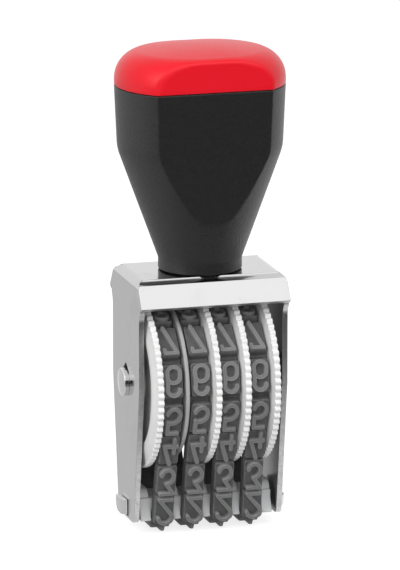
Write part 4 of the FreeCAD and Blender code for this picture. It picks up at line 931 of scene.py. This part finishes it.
studio = {
    "floorColor": 0.45, "floorGlow": 0.78, "worldDiffuse": 0.4, "floorReach": 12000,
    "lights": [
        # name, place, aim, width, height, radiance, and its look in a reflection where it has one
        ("keyLeft", (-900, -500, 700), (0, 0, 60), 700, 900, 3.1, 2.2),
        ("topFront", (250, -620, 900), (0, 0, 50), 1100, 560, 1.9, 1.42),
        ("frontFill", (-200, -1300, 420), (0, 0, 50), 1200, 700, 2.0, None),
    ],
    "cards": [
        # name, middle, the point it faces, width, height, and its look in a reflection
        ("frontFloorCard", (0, -1130, 1), (0, -1130, 100), 3000, 2140, 0.03),
        ("frontCard", (0, -2200, 450), (0, 0, 450), 5000, 900, 0.03),
        ("leftFloorCard", (-218, 150, 1), (-218, 150, 100), 400, 800, 0.66),
    ],
}


def whiteWhereSeen(finish, seen, unseen):
    # colour for rays from the camera, from gloss and through glass, and for all other rays
    path = finish.node("ShaderNodeLightPath", {}, {})
    sockets = path.socket.node.outputs
    direct = Signal(finish, sockets["Is Camera Ray"])
    mirror = Signal(finish, sockets["Is Glossy Ray"])
    through = Signal(finish, sockets["Is Transmission Ray"])
    shown = direct.math("MAXIMUM", direct.math("MAXIMUM", direct, mirror), through)
    return finish.mixColor(shown, shade(unseen), shade(seen))


def facing(place, aim):
    # a place with its Z turned towards the aim
    away = Vector(aim) - Vector(place)
    return Matrix.Translation(Vector(place) * mm) @ away.to_track_quat("Z", "Y").to_matrix().to_4x4()


def panel(name, place, aim, width, height, material):
    # a flat panel round its middle that faces a point
    across, up = width / 2, height / 2
    mesh = bpy.data.meshes.new(name)
    corners = np.array([(-across, -up, 0), (across, -up, 0), (across, up, 0), (-across, up, 0)]) * mm
    mesh.from_pydata(corners.tolist(), [], [(0, 1, 2, 3)])
    mesh.materials.append(material)
    made = bpy.data.objects.new(name, mesh)
    bpy.context.scene.collection.objects.link(made)
    made.matrix_world = facing(place, aim)
    return made


def card(name, place, aim, width, height, look):
    # a panel that only reflections show, at an even brightness
    finish = Finish(name, {"Base Color": shade(0), "Roughness": 0.9, "Specular IOR Level": 0.0,
                           "Emission Color": shade(1), "Emission Strength": look})
    made = panel(name, place, aim, width, height, finish.material)
    made.visible_camera = made.visible_diffuse = made.visible_shadow = False


def studioLight(name, place, aim, width, height, radiance, look):
    # a soft light; a card in its place stands for it in reflections
    data = bpy.data.lights.new(name, "AREA")
    data.shape = "RECTANGLE"
    data.size, data.size_y = width * mm, height * mm
    data.energy = radiance * math.pi * data.size * data.size_y
    made = bpy.data.objects.new(name, data)
    bpy.context.scene.collection.objects.link(made)
    made.visible_glossy = False
    made.matrix_world = facing(place, aim) @ Matrix.Rotation(math.pi, 4, "Y")
    if look:
        card(name + "Card", place, aim, width, height, look)


floorFinish = Finish("paleFloor", {"Base Color": shade(studio["floorColor"]), "Roughness": 0.9,
                                   "Specular IOR Level": 0.0, "Emission Strength": 1.0})
floorFinish.set("Emission Color", whiteWhereSeen(floorFinish, studio["floorGlow"], 0.0))
panel("floor", (0, 0, 0), (0, 0, 100), studio["floorReach"], studio["floorReach"], floorFinish.material)
for values in studio["cards"]:
    card(*values)
for values in studio["lights"]:
    studioLight(*values)

world = bpy.data.worlds.new("studio")
bpy.context.scene.world = world
worldFinish = Finish("studioAir", {"Strength": 1.0}, world, "Background")
worldFinish.set("Color", whiteWhereSeen(worldFinish, 1.0, studio["worldDiffuse"]))
bpy.context.scene.view_settings.view_transform = "Standard"
print("studio lit")
